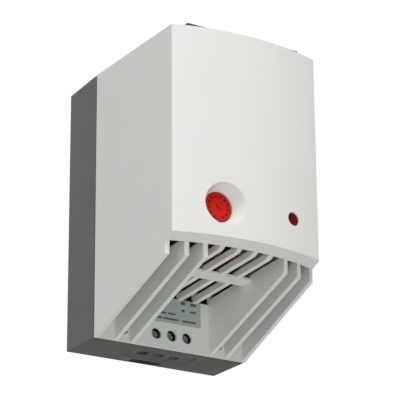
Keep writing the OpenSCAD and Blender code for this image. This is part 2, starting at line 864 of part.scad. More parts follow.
module terminal_block() {
    color([0.9, 0.9, 0.86]) from_foot() difference() {
        block([-block_w / 2, block_front_y, floor_z], [block_w / 2, block_back_y, block_top]);
        for (x = entry_x) {
            block([x - clamp_w / 2 - seat_gap, clamp_y[0] - seat_gap, floor_z - cut],
                [x + clamp_w / 2 + seat_gap, clamp_y[1] + seat_gap, clamp_z[1]]);
            rod(x, pole_z, pole_head_d + 2 * slide_gap, block_front_y - cut, pole_shoulder_y);
            rod(x, pole_z, pole_shank_d + 2 * seat_gap, block_front_y, clamp_y[0]);
        }
    }
}

module terminal_clamps() {
    color([0.8, 0.68, 0.36]) from_foot() difference() {
        for (x = entry_x)
            block([x - clamp_w / 2, clamp_y[0], clamp_z[0]], [x + clamp_w / 2, clamp_y[1], clamp_z[1]]);
        for (x = entry_x) {
            block([x - wire_hole / 2, -entry_d - wire_hole / 2, clamp_z[0] - cut],
                [x + wire_hole / 2, -entry_d + wire_hole / 2, clamp_z[1] - clamp_wall]);
            rod(x, pole_z, pole_shank_d + seat_gap, clamp_y[0] - cut, -entry_d);
        }
    }
}

module terminal_screws() {
    color([0.76, 0.77, 0.78]) from_foot()
        for (x = entry_x)
            screw(x, pole_shoulder_y, pole_z, pole_shank_d, pole_head_d, pole_head_h,
                -entry_d - wire_hole / 2 - pole_shoulder_y - seat_gap);
}

module temperature_dial() {
    color([0.8, 0.14, 0.11]) from_foot() translate([dial_x, dial_y, control_z]) rotate([-90, 0, 0]) {
        difference() {
            union() {
                cylinder(d1 = dial_d - 2 * dial_edge, d2 = dial_d, h = dial_edge);
                translate([0, 0, dial_edge]) cylinder(d = dial_d, h = dial_t - dial_edge);
            }
            rotate(dial_slot_angle) translate([-dial_slot_l / 2, -slot_w / 2, -cut])
                cube([dial_slot_l, slot_w, cut + slot_t]);
        }
        translate([0, 0, dial_t / 2])
            cylinder(d = spindle_d, h = spindle_end_y - dial_y - dial_t / 2 - slide_gap);
    }
}

module regulator_body() {
    half_w = regulator_w / 2;
    half_h = regulator_h / 2;
    color([0.15, 0.15, 0.16]) from_foot() difference() {
        union() {
            block([dial_x - half_w, regulator_y + bush_h, control_z - half_h],
                [dial_x + half_w, board_y, control_z + half_h]);
            rod(dial_x, control_z, spindle_d + 2 * bush_wall, regulator_y, regulator_y + bush_h + cut);
        }
        rod(dial_x, control_z, spindle_d + 2 * run_gap, regulator_y - cut, spindle_end_y);
    }
}

module control_board() {
    color([0.12, 0.36, 0.2]) from_foot() difference() {
        block([-board_w / 2, board_y, board_z[0]], [board_w / 2, board_back_y, board_z[1]]);
        for (m = [-1, 1])
            rod(m * post_x, post_z, pilot_d + 2 * pilot_play, board_y - cut, board_back_y + cut);
    }
}

module board_screws() {
    color([0.75, 0.76, 0.77]) from_foot()
        for (m = [-1, 1])
            mirror([0, 1, 0]) screw(m * post_x, -board_back_y, post_z, pilot_d, board_head_d, board_head_h,
                board_screw_l);
}

module lamp_window() {
    body_d = lamp_d - 2 * seat_gap;
    edge_y = lamp_front_y + lens_sink + lens_edge;
    color([0.42, 0.03, 0.05]) from_foot() difference() {
        union() {
            rod(lamp_x, control_z, lamp_d + 2 * lamp_flange, lamp_seat_y, lamp_seat_y + lamp_flange_t);
            rod(lamp_x, control_z, body_d, edge_y, lamp_seat_y + lamp_flange_t / 2);
            translate([lamp_x, edge_y, control_z]) rotate([90, 0, 0])
                cylinder(d1 = body_d, d2 = body_d - 2 * lens_edge, h = lens_edge);
        }
        rod(lamp_x, control_z, led_d + 2 * led_gap, led_tip_y - led_gap, lamp_seat_y + 2 * lamp_flange_t);
    }
}

module lamp_led() {
    color([0.75, 0.1, 0.1]) from_foot() {
        rod(lamp_x, control_z, led_d, led_tip_y + led_d / 2, holder_y);
        rod(lamp_x, control_z, led_d + 2 * led_rim, holder_y - led_rim_h, holder_y);
        intersection() {
            translate([lamp_x, led_tip_y + led_d / 2, control_z]) sphere(d = led_d, $fn = 48);
            rod(lamp_x, control_z, 2 * led_d, led_tip_y - cut, led_tip_y + led_d / 2);
        }
    }
}

module lamp_holder() {
    color([0.1, 0.1, 0.1]) from_foot() difference() {
        rod(lamp_x, control_z, holder_d, holder_y, board_y);
        for (m = [-1, 1])
            rod(lamp_x + m * lead_pitch / 2, control_z, lead_d, holder_y - cut, board_y + cut);
    }
}

// The fan's frame: a square with a round air way, struts at the top and a hub plate
module fan_frame() {
    color([0.13, 0.13, 0.14]) from_foot() translate([0, fan_y, 0]) difference() {
        union() {
            difference() {
                translate([-fan_w / 2, -fan_w / 2, fan_z]) cube([fan_w, fan_w, fan_h]);
                translate([0, 0, fan_z - cut]) cylinder(d = fan_bore, h = fan_h + 2 * cut, $fn = 144);
            }
            translate([0, 0, fan_top - hub_plate_t]) cylinder(d = hub_d, h = hub_plate_t);
            for (a = [45:90:315])
                rotate(a) translate([0, -strut_w / 2, fan_top - hub_plate_t])
                    cube([fan_bore / 2 + cut, strut_w, hub_plate_t]);
            translate([0, 0, bearing_z]) cylinder(d = bearing_d + 2 * boss_wall, h = fan_top - bearing_z);
        }
        translate([0, 0, fan_z]) cylinder(d = bearing_d + 2 * run_gap, h = fan_h - hub_plate_t / 2);
        for (x = [-1, 1])
            for (y = [-1, 1])
                translate([x * fan_pitch / 2, y * fan_pitch / 2, fan_z - cut])
                    cylinder(d = fan_hole_d, h = fan_h + 2 * cut);
    }
}

// One blade: a curved plate that leans with the turn
module blade() {
    rise = blade_z[1] - blade_z[0];
    tip_r = fan_bore / 2 - tip_gap;
    intersection() {
        translate([0, 0, blade_z[0]]) difference() {
            cylinder(r = tip_r, h = rise, $fn = 144);
            translate([0, 0, -cut]) cylinder(d = hub_d - cup_wall, h = rise + 2 * cut);
        }
        rotate([90, 0, 90]) linear_extrude(fan_bore) translate([-rise / 2, blade_z[0] + rise / 2])
            intersection() {
                translate(blade_c) difference() {
                    circle(r = blade_r);
                    circle(r = blade_r - blade_t);
                }
                translate([-rise, -rise]) square([2.4 * rise, 2 * rise]);
            }
    }
}

module fan_impeller() {
    rise = blade_z[1] - blade_z[0];
    color([0.16, 0.16, 0.17]) from_foot() translate([0, fan_y, 0]) {
        difference() {
            translate([0, 0, blade_z[0]]) cylinder(d = hub_d, h = rise);
            translate([0, 0, blade_z[0] + cup_floor]) cylinder(d = hub_d - 2 * cup_wall, h = rise);
            translate([0, 0, blade_z[0] - cut]) cylinder(d = shaft_d + 2 * run_gap, h = rise);
        }
        for (k = [0:blade_n - 1])
            rotate(360 * k / blade_n) blade();
    }
}

module rotor_magnet() {
    out_d = hub_d - 2 * cup_wall - 2 * run_gap;
    color([0.25, 0.24, 0.24]) from_foot() translate([0, fan_y, blade_z[0] + cup_floor]) difference() {
        cylinder(d = out_d, h = blade_z[1] - blade_z[0] - cup_floor - magnet_gap);
        translate([0, 0, -cut]) cylinder(d = out_d - 2 * magnet_t, h = fan_h);
    }
}

module fan_shaft() {
    low = blade_z[0] + shaft_in;
    color([0.78, 0.79, 0.8]) from_foot() translate([0, fan_y, low])
        cylinder(d = shaft_d, h = fan_top - hub_plate_t / 2 - shaft_gap - low);
}

module fan_bearing() {
    color([0.76, 0.6, 0.35]) from_foot() translate([0, fan_y, bearing_z]) difference() {
        cylinder(d = bearing_d, h = fan_top - hub_plate_t / 2 - bearing_z);
        translate([0, 0, -cut]) cylinder(d = shaft_d + 2 * run_gap, h = fan_h);
    }
}

module fan_stator() {
    poles = 4;
    color([0.62, 0.4, 0.24]) from_foot() translate([0, fan_y, stator_z]) difference() {
        cylinder(d = stator_d, h = fan_top - hub_plate_t - stator_z);
        translate([0, 0, -cut]) cylinder(d = bearing_d + 2 * boss_wall + 2 * run_gap, h = fan_h);
        for (k = [0:poles - 1])
            rotate(360 * k / poles + 45) translate([stator_d / 2 - pole_slot_l, -pole_slot_w / 2, -cut])
                cube([2 * pole_slot_l, pole_slot_w, fan_h]);
    }
}

module fan_screws() {
    reach = fan_h + duct_flange - fan_screw_gap;
    color([0.75, 0.76, 0.77]) from_foot() translate([0, fan_y, fan_z])
        for (x = [-1, 1])
            for (y = [-1, 1])
                translate([x * fan_pitch / 2, y * fan_pitch / 2, 0]) {
                    translate([0, 0, -fan_head_h]) cylinder(d = fan_head_d, h = fan_head_h);
                    translate([0, 0, -fan_head_h / 2]) cylinder(d = fan_screw_d, h = reach + fan_head_h / 2);
                }
}

// Square duct over the fan, with a round mouth, ears and a seat for the core
module heater_duct() {
    half = fan_w / 2;
    flange_half = max(half, duct_half);
    inner = duct_half - duct_t;
    color([0.17, 0.17, 0.17]) from_foot() difference() {
        union() {
            block([-duct_half, fan_y - half, duct_z], [duct_half, fan_y + half, duct_top]);
            block([-flange_half, fan_y - half, duct_z], [flange_half, fan_y + half, core_z]);
            for (m = [0, 1])
                for (z = ear_z)
                    mirror([m, 0, 0]) block([duct_half - ear_root, fan_back_y - ear_t, z - ear_h / 2],
                        [duct_half + ear_w, fan_back_y, z + ear_h / 2]);
        }
        block([-inner, fan_y - half + duct_t, core_z], [inner, fan_y + half - duct_t, duct_top + cut]);
        translate([0, fan_y, duct_z - cut]) cylinder(d = fan_bore, h = duct_flange + 2 * cut, $fn = 144);
        for (x = [-1, 1])
            for (y = [-1, 1])
                translate([x * fan_pitch / 2, fan_y + y * fan_pitch / 2, duct_z - cut])
                    cylinder(d = fan_screw_d + seat_gap, h = duct_flange + 2 * cut);
        for (m = [-1, 1])
            for (z = ear_z)
                rod(m * ear_x, z, ear_hole_d, fan_back_y - ear_t - cut, fan_back_y + cut);
    }
}

module duct_screws() {
    color([0.75, 0.76, 0.77]) from_foot()
        for (m = [-1, 1])
            for (z = ear_z)
                screw(m * ear_x, fan_back_y - ear_t, z, screw_d, screw_head_d, screw_head_h, screw_l);
}

// Y of the lower side of a fin row, counted from the front
function row_y(k) = fan_y - core_d / 2 + strip_t + k * row_step;

module heater_fins() {
    folds = floor(fin_l / fold_l);
    step = fin_l / folds;
    // Folded sheet as a wave with flat crests, first along one side and then back along the other
    function wave(k) = let (x = -fin_l / 2 + k * step)
        [[x + fin_crest, 0], [x + step / 2 - fin_crest, fin_h - fin_t],
            [x + step / 2 + fin_crest, fin_h - fin_t], [x + step - fin_crest, 0]];
    line = concat([[-fin_l / 2, 0]], [for (k = [0:folds - 1]) each wave(k)], [[fin_l / 2, 0]]);
    sheet = concat(line, [for (i = [len(line) - 1:-1:0]) line[i] + [0, fin_t]]);
    color([0.8, 0.81, 0.82]) from_foot()
        for (k = [0:fin_rows - 1])
            translate([0, row_y(k), core_z]) linear_extrude(core_h) polygon(sheet);
}

module ptc_elements() {
    length = (fin_l - (stones - 1) * stone_gap) / stones;
    color([0.35, 0.33, 0.31]) from_foot()
        for (k = [0:fin_rows - 2])
            for (s = [0:stones - 1])
                translate([s * (length + stone_gap) - fin_l / 2, row_y(k) + fin_h + strip_t,
                    core_z + stone_in])
                    cube([length, ptc_t, core_h - 2 * stone_in]);
}

module contact_strips() {
    lines = concat([row_y(0) - strip_t], [for (k = [0:fin_rows - 2]) each [row_y(k) + fin_h,
        row_y(k) + fin_h + strip_t + ptc_t]], [row_y(fin_rows - 1) + fin_h]);
    color([0.72, 0.73, 0.74]) from_foot()
        for (k = [0:len(lines) - 1])
            translate([0, lines[k], core_z]) {
                translate([-fin_l / 2, 0, 0]) cube([fin_l, strip_t, core_h]);
                if (k % 2 == 1)
                    translate([fin_l / 2 - tab_in, 0, core_h - cut]) cube([tab_w, strip_t, tab_h + cut]);
            }
}

module core_end_caps() {
    color([0.24, 0.23, 0.22]) from_foot()
        for (m = [-1, 1])
            block([m * (fin_l + cap_w) / 2 - cap_w / 2, fan_y - core_d / 2, core_z],
                [m * (fin_l + cap_w) / 2 + cap_w / 2, fan_y + core_d / 2, core_z + core_h]);
}

module thermal_cutout() {
    color([0.82, 0.8, 0.74]) from_foot() {
        rod(0, cutout_z, cutout_d, fan_back_y, fan_back_y + cutout_t);
        block([-flange_w / 2, fan_back_y, cutout_z - flange_h / 2],
            [flange_w / 2, fan_back_y + flange_t, cutout_z + flange_h / 2]);
    }
}

module wire_regulator() {
    color([0.7, 0.08, 0.08]) from_foot() wire(board_way(-pole_pitch, -board_wire_x));
}

module wire_lamp() {
    color([0.7, 0.08, 0.08]) from_foot() wire(board_way(0, board_wire_x));
}

module wire_fan() {
    color([0.1, 0.1, 0.11]) from_foot()
        wire(rear_way([pole_pitch, wire_y, block_top], [fan_wire_x, fan_back_y, fan_z + fan_wire_up]));
}

module wire_heater() {
    color([0.7, 0.08, 0.08]) from_foot()
        wire(rear_way([-pole_pitch, wire_back_y, block_top],
            [-cutout_wire_x, fan_back_y + cutout_t, cutout_z]));
}

module wire_neutral() {
    color([0.12, 0.2, 0.5]) from_foot()
        wire(rear_way([0, wire_back_y, block_top], [core_wire_x, fan_back_y, cutout_z]));
}

rear_base();
front_cover();
outlet_grille();
rating_plate();
cover_screws();
terminal_block();
terminal_screws();
terminal_clamps();
temperature_dial();
regulator_body();
control_board();
board_screws();
lamp_window();
lamp_led();
lamp_holder();
fan_frame();
fan_impeller();
rotor_magnet();
fan_shaft();
fan_bearing();
fan_stator();
fan_screws();
heater_duct();
duct_screws();
heater_fins();
ptc_elements();
contact_strips();
core_end_caps();
thermal_cutout();
wire_regulator();
wire_lamp();
wire_fan();
wire_heater();
wire_neutral();
din_clip();
clip_spring();
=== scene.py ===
"""Dresses the fan heater for control cabinets: finishes, intake bars, print, wires, studio and camera."""
import logging
import math
from dataclasses import dataclass, replace
from enum import Enum
from typing import ClassVar, Optional, Sequence, Union

import bmesh
import bpy
from mathutils import Matrix, Vector


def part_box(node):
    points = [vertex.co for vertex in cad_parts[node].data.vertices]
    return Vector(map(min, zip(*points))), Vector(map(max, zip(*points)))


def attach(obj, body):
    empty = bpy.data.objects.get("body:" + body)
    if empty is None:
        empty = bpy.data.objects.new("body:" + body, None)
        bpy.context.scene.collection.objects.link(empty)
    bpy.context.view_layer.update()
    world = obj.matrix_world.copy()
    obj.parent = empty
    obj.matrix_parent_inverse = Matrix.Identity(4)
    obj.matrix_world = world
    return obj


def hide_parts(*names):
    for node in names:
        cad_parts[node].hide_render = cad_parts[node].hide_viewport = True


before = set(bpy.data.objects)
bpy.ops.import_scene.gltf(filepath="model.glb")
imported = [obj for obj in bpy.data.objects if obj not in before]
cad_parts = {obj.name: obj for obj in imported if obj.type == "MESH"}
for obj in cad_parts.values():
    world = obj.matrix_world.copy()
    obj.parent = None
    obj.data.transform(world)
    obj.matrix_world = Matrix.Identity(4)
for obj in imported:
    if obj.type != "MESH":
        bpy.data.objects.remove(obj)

MM = 0.001
FOOT_Z = -81 * MM
NOISE_LOW, NOISE_HIGH = 0.3, 0.7
BROAD_PATCH, FINE_PATCH = 22 * MM, 1.1 * MM
ROUGH_SPREAD = 0.05
BRUSH_STRETCH = 0.04
EDGE_SAMPLES = 6
PLASTIC_IOR = 1.5
log = logging.getLogger("heater")

Color = tuple[float, float, float]
Feed = Union[bpy.types.NodeSocket, float, Sequence[float]]


class Body(Enum):
    """Bodies of the part that pieces ride on."""

    HOUSING = "housing"
    DIAL = "dial"
    CLIP = "clip"


class Pattern(Enum):
    """Kinds of fine relief on a surface."""

    GRAIN = "grain"
    BRUSHED = "brushed"
    WOUND = "wound"
    WEAVE = "weave"


def srgb(red: int, green: int, blue: int) -> Color:
    """Turns a screen colour into linear light.

    Args:
        red: Red, from 0 to 255.
        green: Green, from 0 to 255.
        blue: Blue, from 0 to 255.

    Returns:
        The three linear values.
    """
    def linear(value: int) -> float:
        """Linear light of one channel."""
        share = value / 255
        return share / 12.92 if share <= 0.04045 else ((share + 0.055) / 1.055) ** 2.4

    return linear(red), linear(green), linear(blue)


def shade(color: Color, factor: float) -> tuple[float, float, float, float]:
    """A colour made lighter or darker, with its alpha."""
    return tuple(min(1.0, channel * factor) for channel in color) + (1.0,)


class NodeDesk:
    """Lays out the nodes of one material."""

    def __init__(self, name: str) -> None:
        """Starts an empty material.

        Args:
            name: Name of the material.
        """
        self.material = bpy.data.materials.new(name)
        self.material.use_nodes = True
        self.tree = self.material.node_tree
        self.tree.nodes.clear()
        self.output = self.tree.nodes.new("ShaderNodeOutputMaterial")

    def add(self, kind: str, settings: Optional[dict] = None, **inputs: Feed) -> bpy.types.Node:
        """Adds a node.

        Args:
            kind: Blender's name of the node type.
            settings: Properties of the node.
            **inputs: Values or sockets by input name, with _ for a space.

        Returns:
            The new node.
        """
        node = self.tree.nodes.new(kind)
        for key, value in (settings or {}).items():
            setattr(node, key, value)
        for key, value in inputs.items():
            self.feed(node.inputs[key.replace("_", " ")], value)
        return node

    def feed(self, socket: bpy.types.NodeSocket, value: Feed) -> None:
        """Links a socket or sets its value.

        Args:
            socket: Input to feed.
            value: Another socket, a number, a vector or a colour.
        """
        if isinstance(value, bpy.types.NodeSocket):
            self.tree.links.new(value, socket)
        else:
            socket.default_value = value

    def place(self) -> bpy.types.NodeSocket:
        """Place of the point in the piece's own frame."""
        return self.add("ShaderNodeTexCoord").outputs["Object"]

    def noise(self, size: float, detail: float = 2.0,
              stretch: Optional[Sequence[float]] = None) -> bpy.types.NodeSocket:
        """Noise with features of a size.

        Args:
            size: Size of the features in metres.
            detail: Number of finer layers.
            stretch: Factors that draw the features out along the axes.

        Returns:
            The noise value, about 0.5 on average.
        """
        place = self.place()
        if stretch:
            place = self.add("ShaderNodeMapping", Vector=place, Scale=tuple(stretch)).outputs["Vector"]
        return self.add("ShaderNodeTexNoise", Vector=place, Scale=1 / size, Detail=detail).outputs["Fac"]

    def spread(self, value: bpy.types.NodeSocket, low: float, high: float) -> bpy.types.NodeSocket:
        """Maps a noise value onto a range.

        Args:
            value: Noise, mostly between NOISE_LOW and NOISE_HIGH.
            low: Result at NOISE_LOW.
            high: Result at NOISE_HIGH.

        Returns:
            The mapped value.
        """
        node = self.add("ShaderNodeMapRange", Value=value, From_Min=NOISE_LOW, From_Max=NOISE_HIGH, To_Min=low,
                        To_Max=high)
        return node.outputs["Result"]

    def blend(self, factor: Feed, first: Feed, second: Feed) -> bpy.types.NodeSocket:
        """Mixes two colours.

        Args:
            factor: Share of the second colour.
            first: First colour.
            second: Second colour.

        Returns:
            The mixed colour.
        """
        node = self.tree.nodes.new("ShaderNodeMix")
        node.data_type = "RGBA"
        self.feed(node.inputs[0], factor)
        self.feed(node.inputs[6], first)
        self.feed(node.inputs[7], second)
        return node.outputs[2]

    def soft_edges(self, radius: float) -> bpy.types.NodeSocket:
        """Normal that rounds sharp edges off.

        Args:
            radius: Radius of the edges in metres.

        Returns:
            The rounded normal.
        """
        return self.add("ShaderNodeBevel", {"samples": EDGE_SAMPLES}, Radius=radius).outputs["Normal"]

    def relief(self, height: bpy.types.NodeSocket, depth: float, normal: bpy.types.NodeSocket) -> bpy.types.NodeSocket:
        """Bump on a normal.

        Args:
            height: Height from 0 to 1.
            depth: Depth in metres between heights 0 and 1.
            normal: Normal under the bump.

        Returns:
            The bumped normal.
        """
        return self.add("ShaderNodeBump", Height=height, Distance=depth, Normal=normal).outputs["Normal"]

    def close(self, shader: bpy.types.Node) -> bpy.types.Material:
        """Links the shader to the output and gives the material."""
        self.tree.links.new(shader.outputs[0], self.output.inputs["Surface"])
        return self.material


@dataclass(frozen=True)
class Finish:
    """A surface finish.

    Attributes:
        name: Name of the finish, and the record's slot where it has one.
        color: Linear colour.
        roughness: Mean roughness.
        pattern: Kind of fine relief.
        grain: Size of the relief in metres.
        depth: Depth of the relief in metres.
        mottle: Change of colour over the surface.
        metal: Whether it is bare metal.
        edge: Radius of softened edges in metres.
        axis: Direction along which brushing or winding runs, 0 to 2.
        gloss: Strength of the mirror reflection, 0.5 for common plastic.
    """

    name: str
    color: Color
    roughness: float
    pattern: Pattern = Pattern.GRAIN
    grain: float = 0.4 * MM
    depth: float = 0.012 * MM
    mottle: float = 0.04
    metal: bool = False
    edge: float = 0.25 * MM
    axis: int = 0
    gloss: float = 0.5

    def height(self, desk: NodeDesk) -> bpy.types.NodeSocket:
        """Height of the fine relief.

        Args:
            desk: Material being made.

        Returns:
            A value from 0 to 1.
        """
        if self.pattern is Pattern.BRUSHED:
            stretch = [1.0, 1.0, 1.0]
            stretch[self.axis] = BRUSH_STRETCH
            return desk.noise(self.grain, 3.0, stretch)
        if self.pattern is Pattern.WOUND:
            direction = "XYZ"[self.axis]
            node = desk.add("ShaderNodeTexWave", {"bands_direction": direction}, Vector=desk.place(),
                            Scale=0.314 / self.grain, Distortion=0.4, Detail=1.0)
            return node.outputs["Fac"]
        if self.pattern is Pattern.WEAVE:
            node = desk.add("ShaderNodeTexChecker", Vector=desk.place(), Scale=1 / self.grain)
            return node.outputs["Fac"]
        return desk.noise(self.grain, 4.0)

    def build(self) -> bpy.types.Material:
        """Makes the material.

        Returns:
            The node material of the finish.
        """
        desk = NodeDesk(self.name)
        height = self.height(desk)
        broad = desk.noise(BROAD_PATCH, 3.0)
        fine = desk.noise(FINE_PATCH, 2.0)
        tint = desk.blend(desk.spread(broad, 0.0, 1.0), shade(self.color, 1 - self.mottle),
                          shade(self.color, 1 + self.mottle))
        tint = desk.blend(desk.spread(height, 0.0, 0.5), tint, shade(self.color, 1 - 2 * self.mottle))
        rough = desk.spread(fine, self.roughness - ROUGH_SPREAD, self.roughness + ROUGH_SPREAD)
        normal = desk.relief(height, self.depth, desk.soft_edges(self.edge))
        shader = desk.add("ShaderNodeBsdfPrincipled", Base_Color=tint, Roughness=rough, Normal=normal,
                          Metallic=1.0 if self.metal else 0.0, IOR=PLASTIC_IOR, Specular_IOR_Level=self.gloss)
        return desk.close(shader)


@dataclass(frozen=True)
class LensFinish(Finish):
    """Coloured see-through plastic or resin.

    Attributes:
        clear: Share of light that passes.
        focus: Place of its middle across and up, and its radius, for painted shade at the upper left and a painted
            highlight at the lower right.
    """

    clear: float = 0.6
    focus: Optional[tuple[float, float, float]] = None

    def depth_shade(self, desk: NodeDesk) -> bpy.types.NodeSocket:
        """Share of random tone without a middle; with one, the share from painted shade at the upper left to a painted
        highlight at the lower right.

        Args:
            desk: Material being made.

        Returns:
            A value from 0 to 1.
        """
        if self.focus is None:
            return desk.spread(desk.noise(3 * MM), 0.0, 1.0)
        # Painted light: a gradient over the lens from painted shade at its upper left to a painted highlight at its
        # lower right.
        x, z, radius = self.focus
        scale = 0.5 / radius
        offset = 0.5 - scale * (x - z) * math.sqrt(0.5)
        place = desk.add("ShaderNodeMapping", Vector=desk.place(), Location=(offset, 0, 0),
                         Rotation=(0, -math.pi / 4, 0), Scale=(scale, scale, scale)).outputs["Vector"]
        return desk.add("ShaderNodeTexGradient", Vector=place).outputs["Fac"]

    def build(self) -> bpy.types.Material:
        """Makes the see-through material.

        Returns:
            The node material of the lens.
        """
        desk = NodeDesk(self.name)
        height = self.height(desk)
        share = self.depth_shade(desk)
        # Dark to bright red along the share: painted shade and painted highlight where a middle is given, random tone
        # otherwise.
        tint = desk.blend(share, shade(self.color, 0.2), shade(self.color, 1.6))
        tint = desk.blend(desk.spread(desk.noise(1.2 * MM), 0.0, 0.3), tint, shade(self.color, 0.6))
        rough = desk.spread(desk.noise(1.5 * MM), self.roughness - 0.03, self.roughness + 0.03)
        normal = desk.relief(height, self.depth, desk.soft_edges(self.edge))
        shader = desk.add("ShaderNodeBsdfPrincipled", Base_Color=tint, Roughness=rough, Normal=normal,
                          Transmission_Weight=self.clear, IOR=PLASTIC_IOR, Specular_IOR_Level=self.gloss)
        return desk.close(shader)


HOOD = Finish("hood_plastic", srgb(226, 226, 223), 0.4, grain=0.8 * MM, depth=0.0015 * MM, mottle=0.008, edge=0.3 * MM)
BASE = Finish("base_plastic", srgb(87, 88, 85), 0.55, grain=0.7 * MM, depth=0.06 * MM, mottle=0.1, edge=0.3 * MM)
GRILLE = Finish("grille_plastic", srgb(48, 49, 49), 0.5, grain=0.5 * MM, depth=0.03 * MM, mottle=0.06)
PLATE = Finish("plate_foil", srgb(172, 181, 177), 0.42, Pattern.BRUSHED, 0.25 * MM, 0.004 * MM, 0.03, edge=0.05 * MM)
STEEL = Finish("zinc_steel", srgb(150, 158, 164), 0.34, Pattern.BRUSHED, 0.3 * MM, 0.006 * MM, 0.06, True, 0.2 * MM)
DULL_STEEL = Finish("dull_steel", srgb(146, 156, 158), 0.38, Pattern.BRUSHED, 0.3 * MM, 0.006 * MM, 0.08, edge=0.2 * MM)
TERMINAL = Finish("terminal_plastic", srgb(30, 31, 31), 0.5, gloss=0.12)
BRASS = Finish("clamp_brass", srgb(196, 164, 92), 0.32, Pattern.BRUSHED, 0.3 * MM, 0.005 * MM, 0.06, True, axis=2)
DIAL = Finish("dial_plastic", srgb(204, 32, 24), 0.45, grain=0.4 * MM, depth=0.01 * MM, mottle=0.05, edge=0.2 * MM,
              gloss=0.15)
BLACK = Finish("black_plastic", srgb(36, 36, 38), 0.5, grain=0.5 * MM, depth=0.02 * MM, mottle=0.06)
BOARD = Finish("board_laminate", srgb(30, 92, 52), 0.4, Pattern.WEAVE, 0.5 * MM, 0.006 * MM, 0.1, edge=0.1 * MM)
LENS = LensFinish("lamp_lens", srgb(112, 6, 9), 0.25, depth=0.004 * MM, edge=0.2 * MM, gloss=0.05, clear=0.08)
LED = LensFinish("led_epoxy", srgb(210, 30, 28), 0.12, depth=0.002 * MM, edge=0.1 * MM, clear=0.4)
FERRITE = Finish("magnet_ferrite", srgb(58, 56, 56), 0.6, grain=0.3 * MM, depth=0.02 * MM, mottle=0.08)
COPPER = Finish("stator_copper", srgb(176, 104, 62), 0.35, Pattern.WOUND, 0.5 * MM, 0.1 * MM, 0.1, True, axis=2)
DUCT = Finish("duct_plastic", srgb(44, 44, 44), 0.5, grain=0.5 * MM, depth=0.02 * MM, mottle=0.06)
FIN = Finish("fin_aluminium", srgb(198, 200, 204), 0.35, Pattern.BRUSHED, 0.3 * MM, 0.004 * MM, 0.05, True, 0.1 * MM, 2)
CERAMIC = Finish("ptc_ceramic", srgb(92, 88, 84), 0.7, grain=0.3 * MM, depth=0.03 * MM, mottle=0.1)
CUTOUT = Finish("cutout_plastic", srgb(208, 204, 190), 0.45)
WIRE_RED = Finish("wire_red", srgb(186, 26, 24), 0.42, grain=0.6 * MM, depth=0.01 * MM, mottle=0.05)
WIRE_BLACK = Finish("wire_black", srgb(32, 32, 34), 0.42, grain=0.6 * MM, depth=0.01 * MM, mottle=0.05)
WIRE_BLUE = Finish("wire_blue", srgb(34, 54, 130), 0.42, grain=0.6 * MM, depth=0.01 * MM, mottle=0.05)
CLIP = Finish("clip_plastic", srgb(22, 22, 23), 0.55, grain=0.5 * MM, depth=0.03 * MM, mottle=0.06, gloss=0.12)
INK = Finish("print_ink", srgb(88, 95, 93), 0.5, grain=0.3 * MM, depth=0.002 * MM, mottle=0.08, edge=0.02 * MM)
DIAL_INK = Finish("dial_ink", srgb(46, 8, 5), 0.5, grain=0.3 * MM, depth=0.002 * MM, mottle=0.08, edge=0.02 * MM,
                  gloss=0.05)


def link(name: str, data: bpy.types.ID) -> bpy.types.Object:
    """Adds an object to the scene.

    Args:
        name: Name of the object.
        data: Its mesh, curve, light or camera.

    Returns:
        The new object.
    """
    thing = bpy.data.objects.new(name, data)
    bpy.context.scene.collection.objects.link(thing)
    return thing


def applied(holder: bpy.types.Object) -> bpy.types.Mesh:
    """Takes an object out of the scene as a mesh.

    Args:
        holder: Object with a curve, or with modifiers on its mesh.

    Returns:
        A new mesh of its final form.
    """
    depsgraph = bpy.context.evaluated_depsgraph_get()
    mesh = bpy.data.meshes.new_from_object(holder.evaluated_get(depsgraph))
    bpy.data.objects.remove(holder)
    return mesh


class Workshop:
    """Makes each finish once and hands it to nodes and pieces."""

    def __init__(self) -> None:
        """Starts with no finish made."""
        self.made: dict[str, bpy.types.Material] = {}

    def material(self, finish: Finish) -> bpy.types.Material:
        """The finish's material, made at its first use.

        Args:
            finish: Finish to make.

        Returns:
            Its node material.
        """
        if finish.name not in self.made:
            self.made[finish.name] = finish.build()
        return self.made[finish.name]

    def dress(self, node: str, finish: Finish) -> None:
        """Gives a CAD node its finish.

        Args:
            node: Name of the node.
            finish: Finish of all its faces.
        """
        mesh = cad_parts[node].data
        mesh.materials.clear()
        mesh.materials.append(self.material(finish))
        log.info("dressed %s in %s", node, finish.name)

    def piece(self, name: str, mesh: bpy.types.Mesh, body: Body, finish: Finish, slot: str) -> bpy.types.Object:
        """Adds a new piece.

        Args:
            name: Name of the piece.
            mesh: Its mesh, in the row frame.
            body: Body that it rides on.
            finish: Its finish.
            slot: Slot of the record that it belongs to; not used.

        Returns:
            The new object.
        """
        mesh.materials.clear()
        mesh.materials.append(self.material(finish))
        piece = link(name, mesh)
        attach(piece, body.value)
        log.info("added %s with %d faces", name, len(mesh.polygons))
        return piece


def add_skin(bm: bmesh.types.BMesh, rings: Sequence[Sequence[Vector]]) -> None:
    """Adds a closed skin over rings of points.

    Args:
        bm: Mesh to add to.
        rings: Rings with the same number of points, in order.
    """
    rows = [[bm.verts.new(point) for point in ring] for ring in rings]
    for first, second in zip(rows, rows[1:]):
        for k in range(len(first)):
            n = (k + 1) % len(first)
            bm.faces.new((first[k], first[n], second[n], second[k]))
    bm.faces.new(rows[0][::-1])
    bm.faces.new(rows[-1])


def add_prism(bm: bmesh.types.BMesh, outline: Sequence[Vector], way: Vector) -> None:
    """Adds a prism.

    Args:
        bm: Mesh to add to.
        outline: Corners of one end.
        way: Step from that end to the other.
    """
    add_skin(bm, (outline, [corner + way for corner in outline]))


